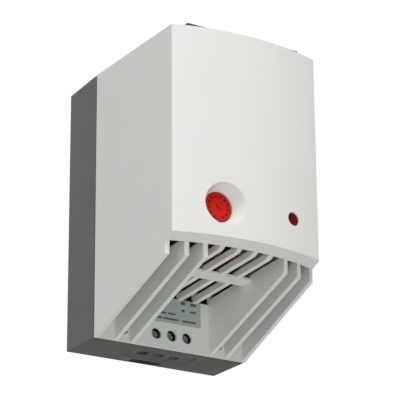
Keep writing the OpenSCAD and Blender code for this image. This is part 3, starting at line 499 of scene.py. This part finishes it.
def add_slab(bm: bmesh.types.BMesh, low: Vector, high: Vector, corner: float = 0.3, steps: int = 3) -> None:
    """Adds a thin rounded slab that faces the front.

    Args:
        bm: Mesh to add to.
        low: Lowest corner.
        high: Highest corner.
        corner: Radius of its corners, as a share of its shorter side.
        steps: Steps in each corner.
    """
    radius = min(high.x - low.x, high.z - low.z) * corner
    left, right, bottom, top = low.x + radius, high.x - radius, low.z + radius, high.z - radius
    outline = []
    for quarter, (x, z) in enumerate(((right, top), (left, top), (left, bottom), (right, bottom))):
        for step in range(steps + 1):
            angle = (quarter + step / steps) * math.pi / 2
            outline.append(Vector((x + radius * math.cos(angle), low.y, z + radius * math.sin(angle))))
    add_prism(bm, outline[::-1], Vector((0, high.y - low.y, 0)))


def smooth_line(points: Sequence[Vector], steps: int) -> list[Vector]:
    """A smooth line through points.

    Args:
        points: Points that the line passes through.
        steps: Steps between two points.

    Returns:
        The line's points.
    """
    last = len(points) - 1
    line = []
    for k in range(last):
        before, start, end, after = (points[min(max(k + d, 0), last)] for d in (-1, 0, 1, 2))
        for step in range(steps):
            t = step / steps
            line.append(0.5 * (2 * start + (end - before) * t + (2 * before - 5 * start + 4 * end - after) * t ** 2
                               + (3 * start - before - 3 * end + after) * t ** 3))
    return line + [points[last]]


def add_tube(bm: bmesh.types.BMesh, points: Sequence[Vector], radius: float, sides: int = 12, steps: int = 8) -> None:
    """Adds a round tube along a smooth line.

    Args:
        bm: Mesh to add to.
        points: Points that the line passes through.
        radius: Radius of the tube.
        sides: Sides of its section.
        steps: Sections between two points.
    """
    line = smooth_line(points, steps)
    turns = [2 * math.pi * n / sides for n in range(sides)]
    rings = []
    for k, point in enumerate(line):
        way = (line[min(k + 1, len(line) - 1)] - line[max(k - 1, 0)]).normalized()
        across = way.cross(Vector((1, 0, 0))).normalized()
        other = way.cross(across)
        rings.append([point + radius * (across * math.cos(a) + other * math.sin(a)) for a in turns])
    add_skin(bm, rings)


def sharpen(mesh: bpy.types.Mesh, degrees: float) -> None:
    """Shades a mesh smooth, with sharp edges.

    Args:
        mesh: Mesh to shade.
        degrees: Angle from which edges are sharp.
    """
    mesh.polygons.foreach_set("use_smooth", [True] * len(mesh.polygons))
    mesh.set_sharp_from_angle(angle=math.radians(degrees))


def flat_mesh(bm: bmesh.types.BMesh, name: str) -> bpy.types.Mesh:
    """Closes a mesh that was being built, with its faces as they are.

    Args:
        bm: Mesh that was built.
        name: Name of the result.

    Returns:
        The mesh, shaded flat.
    """
    mesh = bpy.data.meshes.new(name)
    bm.to_mesh(mesh)
    bm.free()
    return mesh


def to_mesh(bm: bmesh.types.BMesh, name: str, sharp_deg: float = 30.0) -> bpy.types.Mesh:
    """Closes a mesh that was being built, shaded smooth.

    Args:
        bm: Mesh that was built.
        name: Name of the result.
        sharp_deg: Angle from which edges are sharp.

    Returns:
        The mesh, with its faces turned outwards.
    """
    bmesh.ops.recalc_face_normals(bm, faces=bm.faces)
    mesh = flat_mesh(bm, name)
    sharpen(mesh, sharp_deg)
    return mesh


def copy_node(node: str, weld: float = 1e-7) -> bmesh.types.BMesh:
    """Copies a CAD node's mesh.

    Args:
        node: Name of the node.
        weld: Distance within which points are joined.

    Returns:
        The copy, in the row frame.
    """
    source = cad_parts[node]
    bm = bmesh.new()
    bm.from_mesh(source.data)
    bm.transform(source.matrix_world)
    bmesh.ops.remove_doubles(bm, verts=bm.verts, dist=weld)
    return bm


def carve(mesh: bpy.types.Mesh, cutters: Sequence[bpy.types.Mesh]) -> bpy.types.Mesh:
    """Cuts forms out of a mesh.

    Args:
        mesh: Mesh to cut.
        cutters: Closed meshes to take away, in order.

    Returns:
        A new mesh.
    """
    holder = link("carved", mesh)
    tools = [link("cutter", cutter) for cutter in cutters]
    for tool in tools:
        step = holder.modifiers.new("cut", "BOOLEAN")
        step.operation, step.solver, step.object = "DIFFERENCE", "EXACT", tool
    result = applied(holder)
    for tool in tools:
        bpy.data.objects.remove(tool)
    return result


def even_out(mesh: bpy.types.Mesh, name: str, sharp_deg: float = 20.0) -> bpy.types.Mesh:
    """Shades a mesh so that its large faces stay even beside small rounded ones.

    Args:
        mesh: Mesh to shade.
        name: Name of the result.
        sharp_deg: Angle from which edges are sharp.

    Returns:
        A new mesh with the same form.
    """
    sharpen(mesh, sharp_deg)
    holder = link(name, mesh)
    step = holder.modifiers.new("weigh", "WEIGHTED_NORMAL")
    step.mode, step.weight, step.keep_sharp = "FACE_AREA", 100, True
    result = applied(holder)
    result.name = name
    return result


@dataclass
class Assembly:
    """A sub-assembly of the heater.

    Attributes:
        finishes: Finish of each of its CAD nodes.
    """

    finishes: ClassVar[dict[str, Finish]] = {}

    def dress(self, shop: Workshop) -> None:
        """Gives the CAD nodes their finishes.

        Args:
            shop: Maker of the finishes.
        """
        for node, finish in self.finishes.items():
            shop.dress(node, finish)

    def build(self, shop: Workshop) -> None:
        """Adds no piece, unless the sub-assembly has its own."""


@dataclass
class Intake(Assembly):
    """Bars and cross rib in the mouth of the hood, which fall to the rear and have slanted noses.

    Attributes:
        pitch: Distance between two bars.
        half: Half the width of the field of bars.
        slats_half: Half the width of the field of slats.
        bar_t: Thickness of a bar.
        bar_h: Height of a bar.
        bar_z: Height of a bar's lower edge at the lip, above the foot.
        bar_fall: Fall of that edge to the wall.
        nose: Length of the slanted nose.
        nose_in: Depth of the nose's tip in the lip.
        lip_z: Height of the lip's rear edge, above the foot.
        top_z: Height of the CAD bars' tops, above the foot.
        lip_r: Radius of the lip's rear edge.
        lip_land: Thickness of the lip at that edge.
        bow_y: Middle of the bow.
        lip_y: Place of the lip's rear edge in the middle.
        wall_y: Front of the wall behind the bars.
        rib_y: Middle of the rib.
        rib_w: Width of the rib.
        rib_h: Height of the rib's top above the bars' lower edges.
        rib_lift: Height of its underside above them.
        clear_z: Height from which the mouth is cleared, above the foot.
        top_over: Height by which that clearing passes the CAD bars' tops.
        lip_over: Depth by which it reaches in under the lip.
        slats_cut: Height that is cleared above the slats.
        film: Thickness that cuts leave on what they end at.
        sink: Depth of the new forms in what they join.
        arc_steps: Straight pieces in half of a cut's bowed front.
    """

    pitch: float = 10.45 * MM
    half: float = 24.825 * MM
    slats_half: float = 37.95 * MM
    bar_t: float = 3.0 * MM
    bar_h: float = 3.7 * MM
    bar_z: float = 33.8 * MM
    bar_fall: float = 3.4 * MM
    nose: float = 3.5 * MM
    nose_in: float = 0.45 * MM
    lip_z: float = 35.2 * MM
    top_z: float = 41.6 * MM
    lip_r: float = 137.488 * MM
    lip_land: float = 0.6 * MM
    bow_y: float = 18.888 * MM
    lip_y: float = -118.6 * MM
    wall_y: float = -36.3 * MM
    rib_y: float = -77.45 * MM
    rib_w: float = 9.8 * MM
    rib_h: float = 1.6 * MM
    rib_lift: float = 0.1 * MM
    clear_z: float = 31.0 * MM
    top_over: float = 0.8 * MM
    lip_over: float = 0.5 * MM
    slats_cut: float = 8.0 * MM
    film: float = 0.02 * MM
    sink: float = 0.4 * MM
    arc_steps: int = 8

    def arc_y(self, x: float, radius: float) -> float:
        """Place of an arc around the bow's middle."""
        return self.bow_y - math.sqrt(radius ** 2 - x ** 2)

    def low(self, y: float) -> float:
        """Height of the bars' lower edges in the row frame."""
        return FOOT_Z + self.bar_z - self.bar_fall * (y - self.lip_y) / (self.wall_y - self.lip_y)

    def cutter(self, half: float, radius: float, top: float, bottom: Optional[float] = None) -> bpy.types.Mesh:
        """A form that clears the mouth.

        Args:
            half: Half its width.
            radius: Radius of its bowed front.
            top: Height of its upper end above the foot, or above its lower end where that falls.
            bottom: Height of its lower end above the foot, or None to follow the bars' upper edges.

        Returns:
            A closed mesh.
        """
        across = [half * (k / self.arc_steps - 1) for k in range(2 * self.arc_steps + 1)]
        rear = self.wall_y - self.film
        plan = [(x, self.arc_y(x, radius)) for x in across] + [(half, rear), (-half, rear)]
        falls = bottom is None
        outline = [Vector((x, y, self.low(y) + self.bar_h if falls else FOOT_Z + bottom)) for x, y in plan]
        bm = bmesh.new()
        add_prism(bm, outline, Vector((0, 0, top if falls else top - bottom)))
        return to_mesh(bm, "cutter")

    def shell(self) -> bpy.types.Mesh:
        """A copy of the hood with its mouth cleared.

        Returns:
            The new mesh.
        """
        half, behind = self.half - self.film, self.lip_r - self.lip_land - self.film
        cutters = (self.cutter(half, behind, self.top_z + self.top_over, self.clear_z),
                   self.cutter(half, self.lip_r + self.lip_over, self.lip_z - self.film, self.clear_z),
                   self.cutter(self.slats_half, behind, self.slats_cut))
        return even_out(carve(to_mesh(copy_node("front_cover"), "hood"), cutters), "hood_shell")

    def bars(self) -> bpy.types.Mesh:
        """The falling bars and the rib.

        Returns:
            Their mesh.
        """
        bm = bmesh.new()
        rear = self.wall_y + self.sink
        for k in (-1.5, -0.5, 0.5, 1.5):
            x = k * self.pitch
            tip = self.arc_y(x, self.lip_r) - self.lip_land
            under = tip + self.lip_land + self.nose
            side = ((tip, FOOT_Z + self.lip_z + self.nose_in), (under, self.low(under)), (rear, self.low(rear)),
                    (rear, self.low(rear) + self.bar_h), (tip, self.low(tip) + self.bar_h))
            add_prism(bm, [Vector((x - self.bar_t / 2, y, z)) for y, z in side], Vector((self.bar_t, 0, 0)))
        front, back = self.rib_y - self.rib_w / 2, self.rib_y + self.rib_w / 2
        side = ((front, self.rib_lift), (back, self.rib_lift), (back, self.rib_h), (front, self.rib_h))
        end = self.half + self.sink
        add_prism(bm, [Vector((-end, y, self.low(y) + lift)) for y, lift in side], Vector((2 * end, 0, 0)))
        return to_mesh(bm, "intake_bars")

    def build(self, shop: Workshop) -> None:
        """Adds the cleared hood, the bars and the rib.

        Args:
            shop: Maker of the finishes.
        """
        shell = shop.piece("hood_shell", self.shell(), Body.HOUSING, HOOD, "hood_plastic")
        bars = shop.piece("intake_bars", self.bars(), Body.HOUSING, HOOD, "hood_plastic")
        for piece in (shell, bars):
            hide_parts("front_cover")


@dataclass
class Housing(Assembly):
    """Hood, base, grille and the screws that hold them.

    Attributes:
        outer_x: Distance from the middle beyond which the base's sides lie.
        outer_z: Height above the foot below which the base's underside lies.
        front_y: Front of the base.
        flare: Widening of the base's sides at the rear, against the draft.
        drop: Lowering of the base's underside at the rear, against the draft.
    """

    finishes: ClassVar[dict[str, Finish]] = {
        "front_cover": HOOD, "rear_base": BASE, "outlet_grille": GRILLE, "cover_screws": STEEL}
    outer_x: float = 45.5 * MM
    outer_z: float = 3.0 * MM
    front_y: float = -34.5 * MM
    flare: float = 0.8 * MM
    drop: float = 0.55 * MM

    def build(self, shop: Workshop) -> None:
        """Adds a copy of the base with less draft, inside the CAD box.

        Args:
            shop: Maker of the finishes.
        """
        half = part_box("front_cover")[1].x
        bm = copy_node("rear_base")
        for vert in bm.verts:
            share = min(max(1 - vert.co.y / self.front_y, 0.0), 1.0)
            if abs(vert.co.x) > self.outer_x:
                vert.co.x = math.copysign(min(abs(vert.co.x) + self.flare * share, half), vert.co.x)
            if vert.co.z < FOOT_Z + self.outer_z:
                vert.co.z = max(vert.co.z - self.drop * share, FOOT_Z)
        mesh = even_out(to_mesh(bm, "base"), "base_shell")
        piece = shop.piece("base_shell", mesh, Body.HOUSING, BASE, "base_plastic")
        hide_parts("rear_base")


@dataclass
class RailClip(Assembly):
    """Sprung clip at the rear, with the foot that closes its guide.

    Attributes:
        foot_w: Width of the foot.
        foot_y: Front and rear of the foot.
        foot_z: Lower and upper end of the foot, above the part's foot.
        slot_w: Width of the slot for a screwdriver.
        slot_d: Depth of that slot.
        chamfer: Chamfer of the corners.
    """

    finishes: ClassVar[dict[str, Finish]] = {"din_clip": CLIP, "clip_spring": STEEL}
    foot_w: float = 19.64 * MM
    foot_y: tuple[float, float] = (-8.02 * MM, -0.4 * MM)
    foot_z: tuple[float, float] = (0.8 * MM, 5.6 * MM)
    slot_w: float = 7.0 * MM
    slot_d: float = 2.4 * MM
    chamfer: float = 0.5 * MM

    def build(self, shop: Workshop) -> None:
        """Adds the foot.

        Args:
            shop: Maker of the finishes.
        """
        (front, rear), (low, high) = self.foot_y, self.foot_z
        half, slot, cut = self.foot_w / 2, self.slot_w / 2, self.chamfer
        right = [(slot, front + self.slot_d), (slot, front), (half - cut, front), (half, front + cut),
                 (half, rear - cut), (half - cut, rear)]
        plan = right + [(-x, y) for x, y in reversed(right)]
        bm = bmesh.new()
        add_prism(bm, [Vector((x, y, FOOT_Z + low)) for x, y in plan], Vector((0, 0, high - low)))
        shop.piece("clip_foot", to_mesh(bm, "clip_foot"), Body.CLIP, CLIP, "clip_plastic")


@dataclass
class Terminals(Assembly):
    """Terminal block with its clamps, screws and the plate above it.

    Attributes:
        print_t: Thickness of the printed fields.
        fields: Printed fields on the plate as left, right, low and high, from the plate's lower left corner, in mm.
        head_r: Radius of a screw's head.
        head_y: Front of the heads.
        dome: Height of a head's dome.
        slot_w: Width of the slot.
        slot_t: Depth of the slot.
        screw_z: Height of the screws above the foot.
        screw_pitch: Distance between two screws.
        turns: Angles of the slots in degrees.
        sides: Sides of a head.
        rings: Rings of faces on a head.
        end_share: Radius of the flat end, as a share of the head's.
    """

    finishes: ClassVar[dict[str, Finish]] = {
        "terminal_block": TERMINAL, "terminal_screws": DULL_STEEL, "terminal_clamps": BRASS, "rating_plate": PLATE}
    print_t: float = 0.02 * MM
    fields: Sequence[tuple[float, float, float, float]] = (
        (3.0, 10.5, 11.6, 13.6), (25.0, 28.2, 12.3, 14.5), (31.6, 35.6, 12.4, 14.2),
        (3.0, 12.5, 8.4, 9.5), (25.8, 27.8, 8.0, 9.8), (31.4, 35.4, 8.3, 9.4),
        (3.0, 9.4, 5.3, 6.4), (10.4, 15.4, 5.3, 6.4), (16.4, 21.6, 5.3, 6.4),
        (3.0, 12.6, 2.0, 3.1), (13.4, 23.8, 2.0, 3.1), (26.0, 35.6, 2.0, 3.1))
    head_r: float = 2.8 * MM
    head_y: float = -33.45 * MM
    dome: float = 0.8 * MM
    slot_w: float = 0.9 * MM
    slot_t: float = 0.9 * MM
    screw_z: float = 8.3 * MM
    screw_pitch: float = 10.2 * MM
    turns: Sequence[float] = (62.0, 35.0, 118.0)
    sides: int = 64
    rings: int = 14
    end_share: float = 0.7

    def face_y(self, radius: float, angle: float) -> float:
        """Place of a point on a head.

        Args:
            radius: Distance from the head's middle.
            angle: Angle from the slot.

        Returns:
            Its place from front to rear.
        """
        y = self.head_y + self.dome * (radius / self.head_r) ** 2
        return y + self.slot_t if abs(radius * math.sin(angle)) < self.slot_w / 2 else y

    def screw_rings(self, turn: float) -> list[list[Vector]]:
        """Rings of points over one screw, around the origin.

        Args:
            turn: Angle of its slot in radians.

        Returns:
            The rings, from the head's middle to the rear end.
        """
        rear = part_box("terminal_screws")[1].y
        angles = [2 * math.pi * n / self.sides for n in range(self.sides)]
        radii = [self.head_r * ring / self.rings for ring in range(1, self.rings + 1)]
        rows = [[(radius, a, self.face_y(radius, a - turn)) for a in angles] for radius in radii]
        rows += [[(self.head_r * share, a, rear) for a in angles] for share in (1.0, self.end_share)]
        return [[Vector((r * math.cos(a), y, r * math.sin(a))) for r, a, y in row] for row in rows]

    def screws(self) -> bpy.types.Mesh:
        """The terminal screws, with domed and slotted heads.

        Returns:
            Their mesh.
        """
        bm = bmesh.new()
        for k, turn in enumerate(self.turns):
            middle = Vector(((k - 1) * self.screw_pitch, 0, FOOT_Z + self.screw_z))
            add_skin(bm, [[middle + point for point in ring] for ring in self.screw_rings(math.radians(turn))])
        return to_mesh(bm, "terminal_heads")

    def build(self, shop: Workshop) -> None:
        """Adds plain printed fields to the plate, and the screws.

        Args:
            shop: Maker of the finishes.
        """
        screws = shop.piece("terminal_heads", self.screws(), Body.HOUSING, DULL_STEEL, "zinc_steel")
        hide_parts("terminal_screws")
        low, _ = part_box("rating_plate")
        bm = bmesh.new()
        for left, right, bottom, top in self.fields:
            add_slab(bm, Vector((low.x + left * MM, low.y - self.print_t, low.z + bottom * MM)),
                     Vector((low.x + right * MM, low.y, low.z + top * MM)))
        shop.piece("plate_fields", flat_mesh(bm, "plate_fields"), Body.HOUSING, INK, "plate_foil")


@dataclass
class Controls(Assembly):
    """Temperature dial with its numbers, regulator, board and lamp.

    Attributes:
        number_h: Height of the dial's numbers.
        number_r: Radius of the circle that they stand on.
        number_t: Thickness of the print.
        number_bold: Widening of the strokes.
        size_share: Size of the font for each unit of a number's height.
        first_deg: Angle of the first number, clockwise from the top.
        step_deg: Angle between two numbers.
        numbers: The numbers.
    """

    finishes: ClassVar[dict[str, Finish]] = {
        "temperature_dial": DIAL, "regulator_body": BLACK, "control_board": BOARD, "board_screws": STEEL,
        "lamp_led": LED, "lamp_holder": BLACK}
    number_h: float = 1.4 * MM
    number_r: float = 6.2 * MM
    number_t: float = 0.03 * MM
    number_bold: float = 0.04 * MM
    size_share: float = 1.35
    first_deg: float = -156.0
    step_deg: float = 28.2
    numbers: Sequence[int] = tuple(range(5, 65, 5))

    def dress(self, shop: Workshop) -> None:
        """Gives the controls' nodes their finishes, and the lamp window a painted shade at its upper left and a painted
        highlight at its lower right.

        Args:
            shop: Maker of the finishes.
        """
        super().dress(shop)
        low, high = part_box("lamp_window")
        middle = ((low.x + high.x) / 2, (low.z + high.z) / 2, (high.x - low.x) / 2)
        # The lamp window gets painted shade at the upper left and a painted highlight at the lower right.
        shop.dress("lamp_window", replace(LENS, focus=middle))

    def number_mesh(self, value: int) -> bpy.types.Mesh:
        """Flat raised number, centred on the origin in the XY plane.

        Args:
            value: Number to write.

        Returns:
            Its mesh.
        """
        curve = bpy.data.curves.new("number", "FONT")
        curve.body = str(value)
        curve.size = self.number_h * self.size_share
        curve.align_x = "CENTER"
        curve.align_y = "CENTER"
        curve.extrude = self.number_t / 2
        curve.offset = self.number_bold
        curve.resolution_u = 3
        mesh = applied(link("number", curve))
        bpy.data.curves.remove(curve)
        return mesh

    def build(self, shop: Workshop) -> None:
        """Adds the numbers to the dial's face.

        Args:
            shop: Maker of the finishes.
        """
        low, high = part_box("temperature_dial")
        center = Vector(((low.x + high.x) / 2, low.y - self.number_t / 2, (low.z + high.z) / 2))
        to_front = Matrix.Rotation(math.pi / 2, 4, "X")
        bm = bmesh.new()
        for k, value in enumerate(self.numbers):
            angle = math.radians(self.first_deg + k * self.step_deg)
            mesh = self.number_mesh(value)
            turn = Matrix.Rotation(-angle, 4, "Z") @ Matrix.Translation((0, self.number_r, 0))
            mesh.transform(Matrix.Translation(center) @ to_front @ turn)
            bm.from_mesh(mesh)
            bpy.data.meshes.remove(mesh)
        shop.piece("dial_numbers", flat_mesh(bm, "dial_numbers"), Body.DIAL, DIAL_INK, "dial_plastic")


@dataclass
class FanUnit(Assembly):
    """Axial fan."""

    finishes: ClassVar[dict[str, Finish]] = {
        "fan_frame": BLACK, "fan_impeller": BLACK, "rotor_magnet": FERRITE, "fan_shaft": STEEL, "fan_bearing": BRASS,
        "fan_stator": COPPER, "fan_screws": STEEL}


@dataclass
class HeatingCore(Assembly):
    """Finned core in its duct, with the cut-out."""

    finishes: ClassVar[dict[str, Finish]] = {
        "heater_duct": DUCT, "duct_screws": STEEL, "heater_fins": FIN, "ptc_elements": CERAMIC, "contact_strips": FIN,
        "core_end_caps": DUCT, "thermal_cutout": CUTOUT}


@dataclass
class Wiring(Assembly):
    """Wires between the terminals and what they feed.

    Attributes:
        wire_r: Radius of a wire.
        start_y: Place of the wires at the terminals.
        rise_z: Height to which they rise straight, above the foot.
        middle: Points over the wall and the bars, as share of the way across, place and height above the foot.
        lead: Straight length at the board.
        board_z: Height at which they meet the board, above the foot.
        runs: Wires that run low over the bars, as node, place across at the terminals and place at the board.
    """

    finishes: ClassVar[dict[str, Finish]] = {
        "wire_regulator": WIRE_RED, "wire_lamp": WIRE_RED, "wire_fan": WIRE_BLACK, "wire_heater": WIRE_RED,
        "wire_neutral": WIRE_BLUE}
    wire_r: float = 1.1 * MM
    start_y: float = -24.0 * MM
    rise_z: float = 39.4 * MM
    middle: Sequence[tuple[float, float, float]] = (
        (0.15, -32.0 * MM, 43.4 * MM), (0.3, -42.0 * MM, 42.6 * MM), (0.5, -60.0 * MM, 39.4 * MM),
        (0.8, -78.0 * MM, 40.9 * MM))
    lead: float = 7.0 * MM
    board_z: float = 51.2 * MM
    runs: Sequence[tuple[str, float, float]] = (
        ("wire_regulator", -10.2 * MM, 3.8 * MM), ("wire_lamp", 0.0, 14.5 * MM))

    def build(self, shop: Workshop) -> None:
        """Adds the wires that run low over the bars.

        Args:
            shop: Maker of the finishes.
        """
        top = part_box("terminal_block")[1].z
        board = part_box("control_board")[1].y
        route = ((0.0, self.start_y, top), (0.0, self.start_y, FOOT_Z + self.rise_z),
                 *((share, y, FOOT_Z + z) for share, y, z in self.middle),
                 (1.0, board + self.lead, FOOT_Z + self.board_z), (1.0, board, FOOT_Z + self.board_z))
        for node, start, end in self.runs:
            bm = bmesh.new()
            add_tube(bm, [Vector((start + share * (end - start), y, z)) for share, y, z in route], self.wire_r)
            piece = shop.piece(node + "_low", to_mesh(bm, node + "_low"), Body.HOUSING, WIRE_RED, "wire_red")
            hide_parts(node)


@dataclass(frozen=True)
class Lamp:
    """A soft square lamp.

    Attributes:
        name: Name of the lamp.
        azimuth: Direction from the part, from the front towards the right, in degrees.
        elevation: Height of that direction in degrees.
        distance: Distance from the part in metres.
        size: Side of the lamp in metres.
        level: Light that reaches a facing surface, where 1 shows a colour as written.
        color: Tint of the light.
    """

    name: str
    azimuth: float
    elevation: float
    distance: float
    size: float
    level: float
    color: Color = (1.0, 1.0, 1.0)

    def build(self, target: Vector) -> None:
        """Adds the lamp.

        Args:
            target: Point that it faces.
        """
        light = bpy.data.lights.new(self.name, "AREA")
        light.size = self.size
        light.color = self.color
        light.energy = self.level * (math.pi * self.distance) ** 2
        lamp = link(self.name, light)
        az, el = math.radians(self.azimuth), math.radians(self.elevation)
        way = Vector((math.sin(az) * math.cos(el), -math.cos(az) * math.cos(el), math.sin(el)))
        lamp.location = target + way * self.distance
        lamp.rotation_euler = way.to_track_quat("Z", "Y").to_euler()


@dataclass
class Studio:
    """Floor, light and camera.

    Attributes:
        azimuth: Camera's direction from the part in degrees, negative to the left of the front.
        elevation: Camera's height in degrees, negative below the part.
        roll: Camera's roll in degrees.
        distance: Distance of the camera from its target.
        pan: Shift of the view to the right and up.
        target: Point that the view is built around.
        focal_px: Focal length in pixels of the square image.
        image_px: Side of the image in pixels.
        sensor: Width of the sensor in millimetres.
        floor_z: Height of the floor.
        floor_half: Half the side of the floor.
        ambient: Level of the light from all around.
        ambient_tint: Its tint.
        lamps: Soft lamps.
    """

    azimuth: float = -31.634
    elevation: float = -21.099
    roll: float = -0.414
    distance: float = 1.2042
    pan: tuple[float, float] = (4.249 * MM, 1.530 * MM)
    target: Vector = Vector((0.0, -0.060, 0.0015))
    focal_px: float = 2079.7
    image_px: int = 400
    sensor: float = 36.0
    floor_z: float = -1.6
    floor_half: float = 8.0
    ambient: float = 0.23
    ambient_tint: Color = (1.0, 1.03, 0.97)
    lamps: Sequence[Lamp] = (
        Lamp("above", -30.0, 55.0, 2.4, 1.1, 0.70, (1.0, 0.97, 1.02)),
        Lamp("below", -30.0, -40.0, 2.4, 1.1, 0.60, (0.97, 1.02, 0.99)),
        Lamp("left", -58.0, 21.0, 2.4, 0.5, 0.07), Lamp("right", 35.0, 55.0, 2.4, 1.1, 0.205))

    def camera(self) -> None:
        """Adds the camera at the photograph's view."""
        az, el, roll = (math.radians(a) for a in (self.azimuth, self.elevation, self.roll))
        back = Vector((math.sin(az) * math.cos(el), -math.cos(az) * math.cos(el), math.sin(el)))
        right = (-back).cross(Vector((0, 0, 1))).normalized()
        up = right.cross(-back)
        level_right = right * math.cos(roll) + up * math.sin(roll)
        level_up = up * math.cos(roll) - right * math.sin(roll)
        eye = self.target + level_right * self.pan[0] + level_up * self.pan[1] + back * self.distance
        data = bpy.data.cameras.new("photo_view")
        data.sensor_width = self.sensor
        data.lens = self.focal_px / self.image_px * self.sensor
        data.clip_end = 100.0
        camera = link("photo_view", data)
        axes = Matrix((level_right, level_up, back)).transposed().to_4x4()
        camera.matrix_world = Matrix.Translation(eye) @ axes
        bpy.context.scene.camera = camera

    def floor(self) -> None:
        """Adds the plain pale floor, far below the part."""
        half = self.floor_half
        mesh = bpy.data.meshes.new("floor")
        corners = [(-half, -half, self.floor_z), (half, -half, self.floor_z), (half, half, self.floor_z),
                   (-half, half, self.floor_z)]
        mesh.from_pydata(corners, [], [(0, 1, 2, 3)])
        desk = NodeDesk("pale_floor")
        tint = desk.blend(desk.spread(desk.noise(0.4), 0.0, 1.0), (0.80, 0.80, 0.80, 1), (0.84, 0.84, 0.84, 1))
        shader = desk.add("ShaderNodeBsdfPrincipled", Base_Color=tint, Roughness=0.9)
        mesh.materials.append(desk.close(shader))
        floor = link("floor", mesh)

    def world(self) -> None:
        """Sets even light all round, and white where the view, gloss or glass meets it."""
        world = bpy.data.worlds.new("studio")
        world.use_nodes = True
        tree = world.node_tree
        tree.nodes.clear()
        path = tree.nodes.new("ShaderNodeLightPath")
        seen = path.outputs["Is Camera Ray"]
        for name in ("Is Glossy Ray", "Is Transmission Ray"):
            either = tree.nodes.new("ShaderNodeMath")
            either.operation = "MAXIMUM"
            tree.links.new(seen, either.inputs[0])
            tree.links.new(path.outputs[name], either.inputs[1])
            seen = either.outputs[0]
        even = tree.nodes.new("ShaderNodeBackground")
        even.inputs["Strength"].default_value = self.ambient
        even.inputs["Color"].default_value = (*self.ambient_tint, 1)
        white = tree.nodes.new("ShaderNodeBackground")
        white.inputs["Color"].default_value = (1, 1, 1, 1)
        mix = tree.nodes.new("ShaderNodeMixShader")
        output = tree.nodes.new("ShaderNodeOutputWorld")
        tree.links.new(seen, mix.inputs[0])
        tree.links.new(even.outputs[0], mix.inputs[1])
        tree.links.new(white.outputs[0], mix.inputs[2])
        tree.links.new(mix.outputs[0], output.inputs["Surface"])
        bpy.context.scene.world = world

    def build(self) -> None:
        """Sets the view transform and adds camera, floor, world and lamps."""
        bpy.context.scene.view_settings.view_transform = "Standard"
        self.camera()
        self.floor()
        self.world()
        for lamp in self.lamps:
            lamp.build(self.target)
        log.info("studio is set")


def main() -> None:
    """Builds the studio and dresses each sub-assembly in order."""
    logging.basicConfig(level=logging.INFO, format="%(name)s: %(message)s")
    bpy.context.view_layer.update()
    Studio().build()
    shop = Workshop()
    assemblies = (FanUnit(), HeatingCore(), Intake(), Housing(), RailClip(), Terminals(), Controls(), Wiring())
    for assembly in assemblies:
        assembly.dress(shop)
    for assembly in assemblies:
        assembly.build(shop)


if __name__ == "__main__":
    main()
